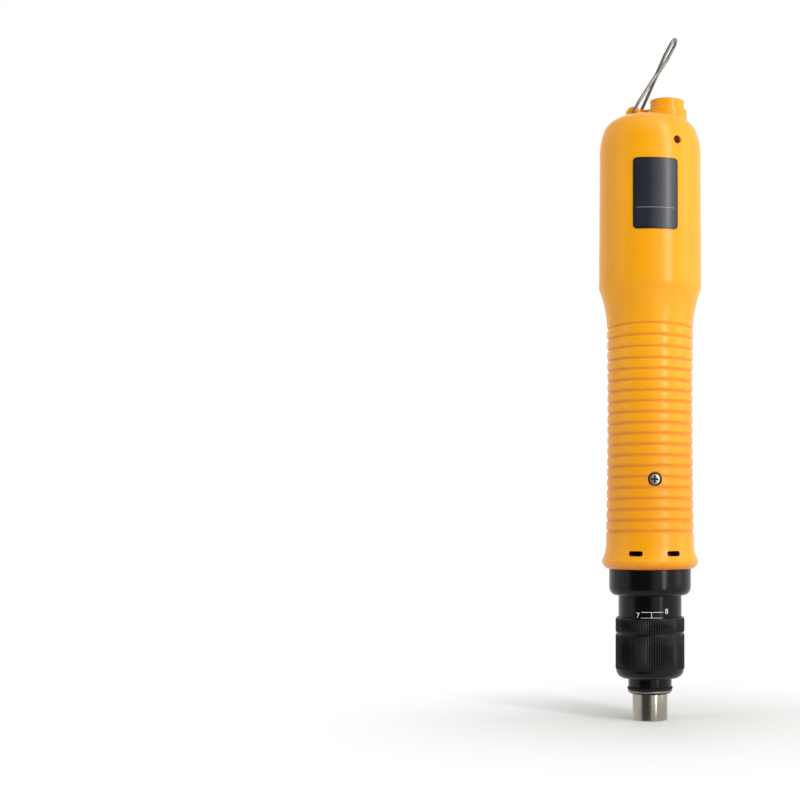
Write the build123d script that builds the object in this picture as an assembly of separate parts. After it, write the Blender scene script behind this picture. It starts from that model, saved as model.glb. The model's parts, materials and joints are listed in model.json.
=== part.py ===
from build123d import *
import math
import os

# Electric torque screwdriver with a push start and an adjustable ball clutch.
# Millimetres. Z is the tool's axis, with 0 at the chuck's mouth. The front, with the rating plate, faces -Y.
# Heights are named _z and count from the chuck's mouth.

# Clearances
slide_gap = 0.05
part_gap = 0.1
moving_gap = 0.3

# Bit socket and chuck
bit_across_flats = 6.35
bit_depth = 14.0
chuck_radius = 8.0
chuck_length = 17.5
chuck_wall = 1.0
chuck_edge_round = 0.4
chuck_land_z = 2.6
chuck_land_height = 6.0
chuck_ring_thickness = 2.0
spindle_tip_z = 0.5
spindle_head_radius = 5.5
spindle_head_top_z = 19.0
chuck_ball_radius = 1.5
chuck_ball_z = 6.5
chuck_ball_reach = 2.6
chuck_seat_thickness = 0.9
chuck_seat_groove = 0.4
chuck_mouth_bevel = 0.9
chuck_wire = 0.5
chuck_spring_turns = 3.5

# Spindle, bush and push start
spindle_radius = 4.5
drive_across_flats = 7.6
drive_length = 15.6
push_travel = 2.5
bush_wall = 1.5
bush_length = 12.0
push_rod_radius = 0.8
push_rod_bore = 1.1
start_wire = 0.6
start_spring_turns = 4.0

# Nose housing
nose_tip_z = 11.9
nose_tip_radius = 8.9
nose_tube_radius = 9.93
nose_tube_bore = 8.5
snap_ring_z = 13.15
snap_ring_wire = 0.5
stop_ring_z = 14.4
stop_ring_wire = 0.7
thread_radius = 13.8
neck_radius = 14.5
collar_z = 56.9
collar_low_radius = 15.9
collar_radius = 18.8
collar_flare_height = 5.0
nose_bore = 12.4
web_thickness = 2.2
nose_top_z = 76.0
nose_flange_lip = 1.4
nose_flange_z = 70.5
nose_flange_thickness = 4.0

# Torque ring
ring_z = 18.9
ring_height = 27.8
ring_radius = 15.8
ring_flute_depth = 0.3
ring_flutes = 90
ring_band_z = 39.3
ring_band_groove = 1.0
ring_round = 4.0
ring_lip_thickness = 4.1
ring_travel_up = 2.5
ring_travel_down = 3.75

# Clutch
seat_thickness = 1.5
seat_leg_radius = 12.1
seat_legs = 3
seat_leg_angle = 40.0
clutch_wire = 1.8
clutch_spring_turns = 4.0
clutch_driver_z = 50.5
clutch_driver_thickness = 3.2
clutch_driver_radius = 11.5
clutch_gap = 1.2
clutch_ball_radius = 1.6
clutch_ball_circle = 8.2
clutch_balls_count = 6
clutch_plate_thickness = 3.5
thrust_washer_thickness = 1.0
clutch_lift = 1.1

# Output bearing and gear train
bearing_z = 62.0
bearing_height = 6.0
bearing_radius = 13.0
carrier_neck_radius = 6.5
gear_module = 0.6
pressure_angle = math.radians(25.0)
sun_teeth = 15
planet_teeth = 15
ring_teeth = 45
gear_backlash = 0.08
planets_count = 3
gear_width = 7.0
planet_pin_radius = 1.5
carrier_radius = 12.5
carrier_thickness = 3.0
gear_case_wall = 2.75
gear_case_floor = 3.6
stage_gap = 0.5

# Motor
motor_mount_height = 10.0
motor_bearing_radius = 6.5
motor_bearing_height = 5.0
rotor_shaft_radius = 2.5
rotor_radius = 8.2
rotor_height = 28.0
rotor_air_gap = 0.5
motor_set_in = 0.2
motor_wall = 1.0
motor_can_height = 46.0
stator_height = 24.0
stator_yoke = 2.1
stator_teeth = 6
stator_tooth_width = 3.6
coil_thickness = 2.2
rear_cap_height = 5.0

# Start switch and control board
start_switch_size = (20.0, 12.0, 10.0)
start_switch_gap = 5.0
plunger_radius = 2.0
plunger_stem = 3.0
board_thickness = 1.6
board_half_width = 16.5
board_rise = 6.9
board_height = 76.0
transistor_size = (6.6, 2.3, 6.1)
transistor_rise = 10.0
transistor_pitch = 9.0
capacitor_radius = 5.0
capacitor_length = 18.0

# Housing shells
housing_z = 68.5
wall = 2.2
grip_room = 0.57
grip_low_flare = 0.55
grip_top_flare = 0.33
grip_z = 78.4
grip_waist_z = 148.0
flange_lip = 1.92
flange_bevel = 2.84
flange_bulge = (0.75, 1.65)
flange_dip = (0.72, 2.7)
flange_z = 72.3
body_step = 3.82
body_length = 58.6
body_taper = 0.22
flare_rise = 1.9
flare_height = 19.4
flare_mid_step = (1.15, 8.4)
flare_edge_step = (-0.42, 16.0)
flare_round_step = (-0.1, 17.4)
dome_height = 19.5
dome_mid_step = (-0.4, 7.4)
dome_edge_step = (-2.25, 13.7)
crown_mid_step = (-5.5, 17.4)
crown_edge_step = (-12.2, 19.3)
groove_first_z = 85.74
groove_pitch = 4.896
groove_count = 20
groove_width = 2.1
groove_floor = 0.7
groove_depth = 0.65
groove_tilts = (1.2, 2.4, 3.5)
rib_thickness = 2.0

# Openings and small parts of the shells
vent_angle = 24.6
vent_z = 75.8
vent_size = (6.2, 1.9)
grip_screw_z = 109.2
grip_screw_counterbore = 3.2
grip_screw_recess = 1.0
upper_screw_rise = 42.6
upper_screw_recess = 2.6
screw_radius = 1.5
screw_head_radius = 2.8
screw_head_height = 1.4
screw_bite = 0.02
grip_screw_bite = 6.0
upper_screw_tip_y = 12.0
cross_length = 2.8
cross_width = 0.7
cross_depth = 0.9
boss_radius = 4.0
plate_rise = 21.9
plate_height = 32.6
plate_width = 21.2
plate_corner = 1.8
plate_thickness = 0.5
plate_proud = 0.12
plate_seat_gap = 0.02
lens_angle = 26.0
lens_rise = 5.1
lens_radius = 1.75
lens_length = 4.0
lens_sink = 0.35
lens_flange_radius = 2.55
lens_flange_height = 1.0
switch_rise = 21.6
switch_frame_size = (13.0, 20.0)
switch_bezel = 1.5
switch_bezel_depth = 2.4
switch_back = 2.0
switch_frame_depth = 12.4
switch_proud = 0.7
rocker_width = 10.4
rocker_length = 14.0
rocker_pin_radius = 1.0
rocker_sink = 3.2
rocker_wing = 3.6
rocker_tilt = 10.0

# Cord socket on the dome, beside the axis
socket_x = 8.1
socket_tier_radius = 9.3
socket_tier_rise = 4.5
tier_chamfer = 0.6
socket_radius = 8.0
socket_rise = 8.6
socket_bore = 6.7
socket_depth = 6.1
socket_barrel_radius = 7.3
socket_flange_radius = 8.4
socket_flange_height = 2.0
socket_base_drop = 8.0
contact_count = 5
contact_circle = 3.4
contact_radius = 0.7
contact_bore_depth = 5.0

# Hanger
hanger_turn = 15.5
ear_x = -7.4
ear_width = 7.2
ear_thickness = 7.4
ear_rise = 5.1
pivot_rise = 1.05
bail_wire = 0.75
bail_lean = 27.7
bail_half_width = 5.4
bail_stub = 2.4
bail_shank = 6.5
bail_waist = (0.95, 22.5)
bail_eye_half_width = 3.7
bail_eye_low = 31.0
bail_length = 40.8
bail_bends = (1.5, 9.0, 5.0, 9.0)

# Sizes that follow
pitch_radius_sun = gear_module * sun_teeth / 2
pitch_radius_planet = gear_module * planet_teeth / 2
pitch_radius_ring = gear_module * ring_teeth / 2
planet_circle = pitch_radius_sun + pitch_radius_planet
gear_root_depth = 1.25 * gear_module
gear_case_radius = pitch_radius_ring + gear_root_depth + gear_case_wall
motor_radius = gear_case_radius - motor_set_in
nose_flange_radius = gear_case_radius + nose_flange_lip
grip_waist_radius = gear_case_radius + wall + grip_room
grip_low_radius = grip_waist_radius + grip_low_flare
grip_top_radius = grip_waist_radius + grip_top_flare
flange_radius = grip_low_radius + flange_lip
flange_low_radius = flange_radius - flange_bevel
body_radius = grip_top_radius + body_step
body_top_radius = body_radius - body_taper
past_skin = 1.25 * body_radius
ring_lip_top_z = ring_z + ring_lip_thickness
web_z = ring_lip_top_z + ring_travel_up + moving_gap
web_top_z = web_z + web_thickness
seat_z = web_top_z + ring_travel_down + moving_gap
seat_top_z = seat_z + seat_thickness
plate_top = clutch_driver_z - clutch_gap
clutch_plate_z = plate_top - clutch_plate_thickness
washer_z = clutch_plate_z - thrust_washer_thickness
clutch_ball_z = clutch_driver_z - clutch_gap / 2
spindle_bore = spindle_radius + slide_gap
bush_radius = spindle_bore + bush_wall
bush_z = spindle_head_top_z + push_travel + moving_gap
bush_top_z = bush_z + bush_length
spring_tube_radius = bush_radius + 2.0
drive_z = clutch_plate_z - push_travel - clutch_lift - moving_gap
spindle_top_z = drive_z + drive_length - moving_gap
carrier_bore = drive_across_flats / math.sqrt(3) + 0.2
carrier_bore_top_z = spindle_top_z + push_travel + 3.0
case_floor_top_z = nose_top_z + gear_case_floor
carrier_2_z = case_floor_top_z + stage_gap
gears_2_z = carrier_2_z + carrier_thickness + stage_gap
carrier_1_z = gears_2_z + gear_width + 2 * stage_gap
gears_1_z = carrier_1_z + carrier_thickness + stage_gap
case_top_z = gears_1_z + gear_width + 2 * stage_gap
motor_z = case_top_z + motor_mount_height
can_top_z = motor_z + motor_can_height
cap_top_z = can_top_z + rear_cap_height
front_bearing_z = case_top_z + 4.0
rear_bearing_z = can_top_z - 1.5
rotor_z = motor_z + 6.0
rotor_shaft_top_z = cap_top_z - 0.5
rotor_shaft_bore = rotor_shaft_radius + slide_gap
rod_top_z = cap_top_z + 2.0
start_switch_z = cap_top_z + start_switch_gap
start_switch_top_z = start_switch_z + start_switch_size[2]
board_z = start_switch_top_z + board_rise
board_top_z = board_z + board_height
transistor_z = board_z + transistor_rise
flare_z = start_switch_top_z + flare_rise
body_z = flare_z + flare_height
shoulder_z = body_z + body_length
crown_z = shoulder_z + dome_height
flare_mid = (grip_top_radius + flare_mid_step[0], flare_z + flare_mid_step[1])
flare_edge = (body_radius + flare_edge_step[0], flare_z + flare_edge_step[1])
flare_round = (body_radius + flare_round_step[0], flare_z + flare_round_step[1])
dome_mid = (body_top_radius + dome_mid_step[0], shoulder_z + dome_mid_step[1])
dome_edge = (body_top_radius + dome_edge_step[0], shoulder_z + dome_edge_step[1])
crown_mid = (body_top_radius + crown_mid_step[0], shoulder_z + crown_mid_step[1])
crown_edge = (body_top_radius + crown_edge_step[0], shoulder_z + crown_edge_step[1])
plate_z = body_z + plate_rise
switch_z = body_z + switch_rise
upper_screw_z = body_z + upper_screw_rise
lens_z = shoulder_z + lens_rise
socket_base_z = crown_z - socket_base_drop
socket_tier_z = crown_z + socket_tier_rise
socket_top_z = crown_z + socket_rise
ear_top_z = crown_z + ear_rise
pivot_z = crown_z + pivot_rise
stator_z = rotor_z + (rotor_height - stator_height) / 2
stator_radius = motor_radius - motor_wall - slide_gap
sleeve_bore = spindle_head_radius + part_gap
sleeve_chamber = chuck_radius - chuck_wall
chuck_chamber_z = chuck_land_z + chuck_land_height
chuck_seat_z = chuck_chamber_z + part_gap
chuck_spring_z = chuck_seat_z + chuck_seat_thickness
chuck_ring_z = chuck_length - chuck_ring_thickness
hanger_axis = Vector(math.sin(math.radians(hanger_turn)), math.cos(math.radians(hanger_turn)), 0)

low_end = (Align.CENTER, Align.CENTER, Align.MIN)
third_turn = 360 / planets_count


def cyl(radius, low, high, at=(0, 0)):
    """Upright cylinder between two heights."""
    return Pos(at[0], at[1], low) * Cylinder(radius, high - low, align=low_end)


def tube(outer, inner, low, high, at=(0, 0)):
    """Upright tube between two heights."""
    return cyl(outer, low, high, at) - cyl(inner, low, high, at)


def block(x, y, z):
    """Box between three pairs of limits."""
    size = (x[1] - x[0], y[1] - y[0], z[1] - z[0])
    return Pos(x[0], y[0], z[0]) * Box(*size, align=(Align.MIN, Align.MIN, Align.MIN))


def bar_y(radius, low, high, x, z):
    """Cylinder along Y between two depths."""
    return Pos(x, high, z) * Rot(90, 0, 0) * Cylinder(radius, high - low, align=low_end)


def bar_x(radius, low, high, y, z):
    """Cylinder along X between two widths."""
    return Pos(low, y, z) * Rot(0, 90, 0) * Cylinder(radius, high - low, align=low_end)


def turned(*points):
    """Ring or disc turned about Z from an outline of radius and height points."""
    return revolve(Plane.XZ * make_face(Polyline(*points, close=True)), Axis.Z)


def turned_curve(edges):
    """Solid turned about Z from closed edges drawn in radius and height."""
    return revolve(Plane.XZ * make_face(edges), Axis.Z)


def hexagon(across_flats, low, high):
    """Upright hexagonal prism with two flats across Y."""
    profile = RegularPolygon(across_flats / 2, 6, major_radius=False)
    flats = Rot(0, 0, 30) * extrude(profile, high - low)
    return Pos(0, 0, low) * flats


def coil(mean_radius, wire, turns, low, high):
    """Compression spring of round wire that stands between two heights."""
    margin = wire / 2 + slide_gap
    height = high - low - 2 * margin
    path = Helix(height / turns, height, mean_radius, center=(0, 0, low + margin))
    start = Plane(origin=path @ 0, z_dir=path % 0)
    return sweep(start * Circle(wire / 2), path=path, is_frenet=True)


def polar(radius, degrees):
    """Point on a circle about the axis."""
    return (radius * math.cos(math.radians(degrees)), radius * math.sin(math.radians(degrees)))


def around(shape, count, start=0.0):
    """Copies of a shape spaced evenly about Z."""
    return [Rot(0, 0, start + i * 360 / count) * shape for i in range(count)]


# Gears

def involute(angle):
    return math.tan(angle) - angle


def half_tooth(teeth, radius, play):
    """Half of a tooth's angle at a radius, with play taken off or added at the pitch circle."""
    pitch_radius = gear_module * teeth / 2
    base_radius = pitch_radius * math.cos(pressure_angle)
    at_radius = math.acos(min(1.0, base_radius / radius))
    width = math.pi / (2 * teeth) - play / (2 * pitch_radius)
    return width + involute(pressure_angle) - involute(at_radius)


def toothed(teeth, root, tip, play, low, high):
    """Disc with involute teeth, one of them centred on +X."""
    radii = [root, (root + tip) / 2, tip]
    points = []
    for tooth in range(teeth):
        centre = 2 * math.pi * tooth / teeth
        rising = [(r, centre - half_tooth(teeth, r, play)) for r in radii]
        falling = [(r, centre + half_tooth(teeth, r, play)) for r in reversed(radii)]
        points += [(r * math.cos(a), r * math.sin(a)) for r, a in rising + falling]
    return Pos(0, 0, low) * extrude(make_face(Polyline(*points, close=True)), high - low)


def outer_gear(teeth, low, high):
    pitch_radius = gear_module * teeth / 2
    root = pitch_radius - gear_root_depth
    return toothed(teeth, root, pitch_radius + gear_module, gear_backlash, low, high)


def ring_space(low, high):
    """What the planets' ring gear leaves open."""
    root = pitch_radius_ring + gear_root_depth
    return toothed(ring_teeth, pitch_radius_ring - gear_module, root, -gear_backlash, low, high)


def planet(gears_z):
    gear = outer_gear(planet_teeth, gears_z, gears_z + gear_width)
    bore = cyl(planet_pin_radius + slide_gap, gears_z, gears_z + gear_width)
    return Pos(planet_circle, 0, 0) * (gear - bore)


def carrier(disc_z, gears_z):
    """Disc with the pins of three planets."""
    disc = cyl(carrier_radius, disc_z, disc_z + carrier_thickness)
    pin = cyl(planet_pin_radius, disc_z, gears_z + gear_width, (planet_circle, 0))
    boss = cyl(planet_pin_radius + 1, disc_z, gears_z - part_gap, (planet_circle, 0))
    return disc + around(pin + boss, planets_count)


def gear_train():
    first = carrier(carrier_1_z, gears_1_z)
    first += outer_gear(sun_teeth, gears_2_z, carrier_1_z)
    first -= cyl(push_rod_bore, gears_2_z, gears_1_z)
    second = carrier(carrier_2_z, gears_2_z)
    second += cyl(carrier_neck_radius, clutch_driver_z, carrier_2_z)
    second += cyl(carrier_neck_radius + 1, clutch_driver_z, bearing_z)
    second += cyl(clutch_driver_radius, clutch_driver_z, clutch_driver_z + clutch_driver_thickness)
    second -= cyl(carrier_bore, clutch_driver_z, carrier_bore_top_z)
    second -= cyl(push_rod_bore, carrier_bore_top_z, gears_2_z)
    pocket = Pos(clutch_ball_circle, 0, clutch_ball_z) * Sphere(clutch_ball_radius + slide_gap)
    second -= around(pocket, clutch_balls_count)
    sun = outer_gear(sun_teeth, gears_1_z, case_top_z - stage_gap)
    sun -= cyl(rotor_shaft_radius, gears_1_z, case_top_z)
    parts = {"sun_gear": sun, "first_stage_carrier": first, "second_stage_carrier": second}
    for i in range(planets_count):
        turn = Rot(0, 0, i * third_turn)
        parts[f"first_stage_planet_{i + 1}"] = turn * planet(gears_1_z)
        parts[f"second_stage_planet_{i + 1}"] = turn * planet(gears_2_z)
    return parts


def gear_case():
    """Case with the internal ring gear and the spigot that holds the output bearing in the nose."""
    case = cyl(gear_case_radius, nose_top_z, case_top_z)
    case -= ring_space(case_floor_top_z, case_top_z)
    spigot_z = bearing_z + bearing_height + part_gap
    case += cyl(bearing_radius - slide_gap, spigot_z, nose_top_z)
    case -= cyl(carrier_neck_radius + moving_gap, spigot_z, case_floor_top_z)
    case -= cyl(bearing_radius - 2.5, spigot_z, nose_top_z - 2)
    for angle in (0, 180):
        flat = polar(gear_case_radius, angle)
        case -= Pos(flat[0], flat[1], 0) * cyl(0.8, nose_top_z, case_top_z)
    return case


def sealed_bearing(outer, inner, low, height):
    """Ball bearing with shields set back between its rings."""
    ring = tube(outer, inner, low, low + height)
    wall_part = (outer - inner) * 0.28
    shield = tube(outer - wall_part, inner + wall_part, 0, 0.4)
    return ring - Pos(0, 0, low) * shield - Pos(0, 0, low + height - 0.4) * shield


# Chuck and spindle

def chuck_sleeve():
    """Sleeve with a ball land near its mouth and a spring chamber above it."""
    edge = chuck_edge_round
    mouth = sleeve_bore + chuck_mouth_bevel
    sleeve = turned(
        (chuck_radius - edge, 0),
        (chuck_radius, edge),
        (chuck_radius, chuck_length),
        (sleeve_chamber, chuck_length),
        (sleeve_chamber, chuck_chamber_z),
        (sleeve_bore, chuck_chamber_z),
        (sleeve_bore, chuck_land_z),
        (mouth, chuck_land_z - chuck_mouth_bevel),
        (mouth, 0),
    )
    return sleeve


def chuck_parts():
    ring = tube(sleeve_chamber - slide_gap / 2, sleeve_bore, chuck_ring_z, chuck_length - 0.3)
    groove = spindle_head_radius - chuck_seat_groove
    seat = tube(sleeve_chamber - part_gap, groove, chuck_seat_z, chuck_seat_z + chuck_seat_thickness)
    spring_radius = (spindle_head_radius + sleeve_chamber) / 2
    spring = coil(spring_radius, chuck_wire, chuck_spring_turns, chuck_spring_z, chuck_ring_z)
    ball_at = chuck_ball_reach + chuck_ball_radius
    ball = Pos(ball_at, 0, chuck_ball_z) * Sphere(chuck_ball_radius)
    return {
        "chuck_sleeve": chuck_sleeve(),
        "chuck_sleeve_ring": ring,
        "chuck_seat_ring": seat,
        "chuck_spring": spring,
        "chuck_balls": around(ball, 2),
    }


def spindle():
    """Spindle with the bit socket below and a hexagonal drive above."""
    shaft = turned(
        (0, spindle_tip_z),
        (spindle_head_radius - 0.5, spindle_tip_z),
        (spindle_head_radius, spindle_tip_z + 0.5),
        (spindle_head_radius, spindle_head_top_z),
        (spindle_radius, spindle_head_top_z),
        (spindle_radius, drive_z),
        (0, drive_z),
    )
    shaft += hexagon(drive_across_flats, drive_z, spindle_top_z)
    shaft -= hexagon(bit_across_flats + 2 * slide_gap, spindle_tip_z, spindle_tip_z + bit_depth)
    groove_top = chuck_seat_z + chuck_seat_thickness
    shaft -= tube(chuck_radius, spindle_head_radius - chuck_seat_groove, chuck_seat_z, groove_top)
    pocket = bar_x(chuck_ball_radius + 0.02, -chuck_radius, chuck_radius, 0, chuck_ball_z)
    return shaft - pocket


def spindle_parts():
    spring_radius = carrier_bore - start_wire - 0.4
    start_spring = coil(spring_radius, start_wire, start_spring_turns, spindle_top_z, carrier_bore_top_z)
    return {
        "spindle": spindle(),
        "spindle_bush": tube(bush_radius - slide_gap / 2, spindle_bore, bush_z, bush_top_z),
        "push_rod": cyl(push_rod_radius, spindle_top_z, rod_top_z),
        "start_spring": start_spring,
    }


# Nose and clutch

def leg_space(outer, inner, angle, low, high):
    """Three sectors of a tube, centred on 60, 180 and 300 degrees."""
    ring = tube(outer, inner, low, high)
    wedge = Polyline((0, 0), polar(2 * outer, -angle / 2), polar(2 * outer, angle / 2), close=True)
    sector = Pos(0, 0, low) * extrude(make_face(wedge), high - low)
    return [ring & piece for piece in around(sector, seat_legs, 60)]


def nose_housing():
    """Nose with its tube, the web that the seat's legs pass, the thread zone, the neck and the collar."""
    neck_z = ring_z + ring_height - ring_travel_down - part_gap - 0.8
    flange_top = nose_flange_z + nose_flange_thickness
    tube_top_z = bush_z + 1.6
    outline = [
        (nose_tube_bore, nose_tip_z),
        (nose_tip_radius, nose_tip_z),
        (nose_tube_radius - 0.3, nose_tip_z + 0.5),
        (nose_tube_radius, nose_tip_z + 0.8),
        (nose_tube_radius, tube_top_z),
        (spring_tube_radius, tube_top_z),
        (spring_tube_radius, web_z),
        (thread_radius, web_z),
        (thread_radius, neck_z),
        (neck_radius, neck_z),
        (neck_radius, collar_z),
        (collar_low_radius, collar_z),
        (collar_radius, collar_z + collar_flare_height),
        (collar_radius, housing_z - part_gap),
        (nose_flange_radius - 1.1, housing_z - part_gap),
        (nose_flange_radius - 1.1, nose_flange_z),
        (nose_flange_radius, nose_flange_z),
        (nose_flange_radius, flange_top),
        (gear_case_radius, flange_top),
        (gear_case_radius, nose_top_z),
        (bearing_radius, nose_top_z),
        (bearing_radius, bearing_z),
        (nose_bore, bearing_z),
        (nose_bore, web_top_z),
        (spring_tube_radius, web_top_z),
        (spring_tube_radius, bush_top_z),
        (bush_radius, bush_top_z),
        (bush_radius, bush_z),
        (nose_tube_bore, bush_z - 1),
    ]
    nose = turned(*outline)
    for groove_z, wire, reach in ((snap_ring_z, snap_ring_wire, 0.25), (stop_ring_z, stop_ring_wire, 0.5)):
        floor = nose_tube_radius + reach - 2 * wire
        nose -= tube(2 * nose_tube_radius, floor, groove_z - wire, groove_z + wire)
    slot = leg_space(nose_bore - 0.1, nose_tube_radius + part_gap, seat_leg_angle + 2, web_z, web_top_z)
    return nose - slot


def nose_rings():
    """Snap ring with a gap at the back, and the stop ring of rubber."""
    snap_radius = nose_tube_radius + 0.25 - snap_ring_wire
    snap = Pos(0, 0, snap_ring_z) * Torus(snap_radius, snap_ring_wire - 0.02)
    snap -= block((-1.5, 1.5), (5, 15), (snap_ring_z - 2, snap_ring_z + 2))
    stop = Pos(0, 0, stop_ring_z) * Torus(nose_tube_radius + 0.5 - stop_ring_wire, stop_ring_wire - 0.02)
    return {"snap_ring": snap, "stop_o_ring": stop}


def torque_ring():
    """Fluted ring with an inner lip that the seat's legs stand on."""
    top = ring_z + ring_height
    body_radius_low = ring_radius - ring_flute_depth
    bore_low = nose_tube_radius + moving_gap
    thread_bore = thread_radius + 0.12
    neck_bore = neck_radius + 0.12
    neck_bore_z = top - ring_travel_down - ring_travel_up - 1.2
    inner = cyl(bore_low, ring_z, ring_lip_top_z)
    inner += cyl(thread_bore, ring_lip_top_z, neck_bore_z)
    inner += cyl(neck_bore, neck_bore_z, top)
    low_face = body_radius_low - ring_round + 0.4
    edges = [
        Line((0, ring_z), (low_face, ring_z)),
        Spline((low_face, ring_z), (body_radius_low, ring_z + ring_round), tangents=((1, 0), (0, 1))),
        Line((body_radius_low, ring_z + ring_round), (body_radius_low, top)),
        Line((body_radius_low, top), (0, top)),
        Line((0, top), (0, ring_z)),
    ]
    body = turned_curve(edges)
    band_low = ring_band_z - ring_band_groove / 2
    band_high = ring_band_z + ring_band_groove / 2
    for low, high in ((ring_z + ring_round, band_low), (band_high, top - 0.6)):
        body += fluted_band(low, high)
    return body - inner


def fluted_band(low, high):
    points = []
    for i in range(ring_flutes):
        points.append(polar(ring_radius, 360 * i / ring_flutes))
        points.append(polar(ring_radius - ring_flute_depth, 360 * (i + 0.5) / ring_flutes))
    return Pos(0, 0, low) * extrude(make_face(Polyline(*points, close=True)), high - low)


def clutch_parts():
    seat_bore = spring_tube_radius + moving_gap
    washer = tube(seat_leg_radius, seat_bore, seat_z, seat_top_z)
    legs = leg_space(seat_leg_radius, nose_tube_radius + 0.25, seat_leg_angle, ring_lip_top_z, seat_z)
    spring_radius = (seat_bore + seat_leg_radius) / 2
    plate = cyl(clutch_driver_radius - part_gap, clutch_plate_z, plate_top)
    plate -= hexagon(drive_across_flats + 2 * slide_gap, clutch_plate_z, plate_top)
    detent = Pos(clutch_ball_circle, 0, clutch_ball_z) * Sphere(clutch_ball_radius + slide_gap)
    plate -= around(detent, clutch_balls_count)
    ball = Pos(clutch_ball_circle, 0, clutch_ball_z) * Sphere(clutch_ball_radius)
    return {
        "spring_seat": washer + legs,
        "clutch_spring": coil(spring_radius, clutch_wire, clutch_spring_turns, seat_top_z, washer_z),
        "thrust_washer": tube(seat_leg_radius - 0.3, seat_bore, washer_z, clutch_plate_z),
        "clutch_plate": plate,
        "clutch_balls": around(ball, clutch_balls_count),
        "output_bearing": sealed_bearing(
            bearing_radius - slide_gap / 2, carrier_neck_radius + slide_gap, bearing_z, bearing_height
        ),
    }


# Motor

def motor_mount():
    """Front end of the motor, which closes the gear case and takes the grip screws."""
    spigot = motor_radius - motor_wall - slide_gap
    mount = cyl(gear_case_radius, case_top_z, motor_z)
    mount += cyl(spigot, motor_z, motor_z + 2)
    mount -= cyl(rotor_shaft_radius + 0.7, case_top_z, motor_z + 2)
    mount -= cyl(motor_bearing_radius + slide_gap / 2, front_bearing_z, motor_z + 2)
    for side in (-1, 1):
        depth = sorted((side * (gear_case_radius - grip_screw_bite - 1.5), side * (gear_case_radius + 1)))
        mount -= bar_y(screw_radius + screw_bite, depth[0], depth[1], 0, grip_screw_z)
    return mount


def rear_cap():
    spigot = motor_radius - motor_wall - slide_gap
    cap = cyl(motor_radius, can_top_z, cap_top_z)
    cap += cyl(spigot, can_top_z - 3, can_top_z)
    cap -= cyl(motor_bearing_radius + slide_gap / 2, can_top_z - 3, rear_bearing_z + motor_bearing_height)
    cap -= cyl(rotor_shaft_radius + 0.5, can_top_z, cap_top_z)
    return cap


def stator():
    """Laminated core with six teeth, and a coil on each tooth."""
    top = stator_z + stator_height
    bore = rotor_radius + rotor_air_gap
    yoke_bore = stator_radius - stator_yoke
    core = tube(stator_radius, yoke_bore, stator_z, top)
    half = stator_tooth_width / 2
    stem = block((bore + 0.3, yoke_bore + 0.5), (-half, half), (stator_z, top))
    shoe_angle = 24.0
    shoe = tube(bore + 1.1, bore, stator_z, top)
    wedge = Polyline((0, 0), polar(2 * bore, -shoe_angle), polar(2 * bore, shoe_angle), close=True)
    shoe &= Pos(0, 0, stator_z) * extrude(make_face(wedge), stator_height)
    core += around(stem + shoe, stator_teeth)
    inner = bore + 1.1 + part_gap
    outer = yoke_bore - 0.9
    wide = half + part_gap + coil_thickness
    depth = coil_thickness
    winding = block((inner, outer), (-wide, wide), (stator_z - depth, top + depth))
    winding -= block((inner - 1, outer + 1), (-half - part_gap, half + part_gap), (stator_z - 0.1, top + 0.1))
    neighbours = Polyline((0.6, 0), polar(2 * outer, -29), polar(2 * outer, 29), close=True)
    winding &= Pos(0, 0, stator_z - depth) * extrude(make_face(neighbours), stator_height + 2 * depth)
    return {"stator_core": core, "stator_coils": around(winding, stator_teeth)}


def motor_parts():
    parts = {
        "motor_mount": motor_mount(),
        "motor_can": tube(motor_radius, motor_radius - motor_wall, motor_z, can_top_z),
        "motor_rear_cap": rear_cap(),
        "rotor_shaft": tube(rotor_shaft_radius, push_rod_bore, gears_1_z, rotor_shaft_top_z),
        "rotor_magnet": tube(rotor_radius, rotor_shaft_radius, rotor_z, rotor_z + rotor_height),
        "motor_bearings": [
            sealed_bearing(motor_bearing_radius, rotor_shaft_bore, low, motor_bearing_height)
            for low in (front_bearing_z, rear_bearing_z)
        ],
    }
    parts.update(stator())
    return parts


# Switches and electronics

def start_switch_parts():
    half_x, half_y = start_switch_size[0] / 2, start_switch_size[1] / 2
    plunger_top_z = start_switch_z + plunger_stem
    body = block((-half_x, half_x), (-half_y, half_y), (start_switch_z, start_switch_top_z))
    bore_top = plunger_top_z + push_travel + moving_gap
    body -= cyl(plunger_radius + slide_gap, start_switch_z, bore_top)
    plunger = cyl(plunger_radius, rod_top_z, plunger_top_z)
    return {"start_switch": body, "start_plunger": plunger}


def control_board():
    half = board_thickness / 2
    board = block((-board_half_width, board_half_width), (-half, half), (board_z, board_top_z))
    return board - bar_y(boss_radius + 0.5, -5, 5, 0, upper_screw_z)


def board_parts():
    face = -board_thickness / 2
    size = transistor_size
    transistors = []
    for side in (-1, 1):
        for row in range(3):
            low = transistor_z + row * transistor_pitch
            x = side * (board_half_width - size[0] / 2 - 3)
            half = size[0] / 2
            transistors.append(block((x - half, x + half), (face - size[1], face), (low, low + size[2])))
    capacitor_z = transistor_z + 3
    at = (0, face - capacitor_radius - slide_gap)
    capacitor = cyl(capacitor_radius, capacitor_z, capacitor_z + capacitor_length, at)
    groove_z = capacitor_z + 1.5
    capacitor -= tube(capacitor_radius + 1, capacitor_radius - 0.4, groove_z, groove_z + 0.8, at)
    return {"control_board": control_board(), "board_transistors": transistors, "board_capacitor": capacitor}


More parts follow.
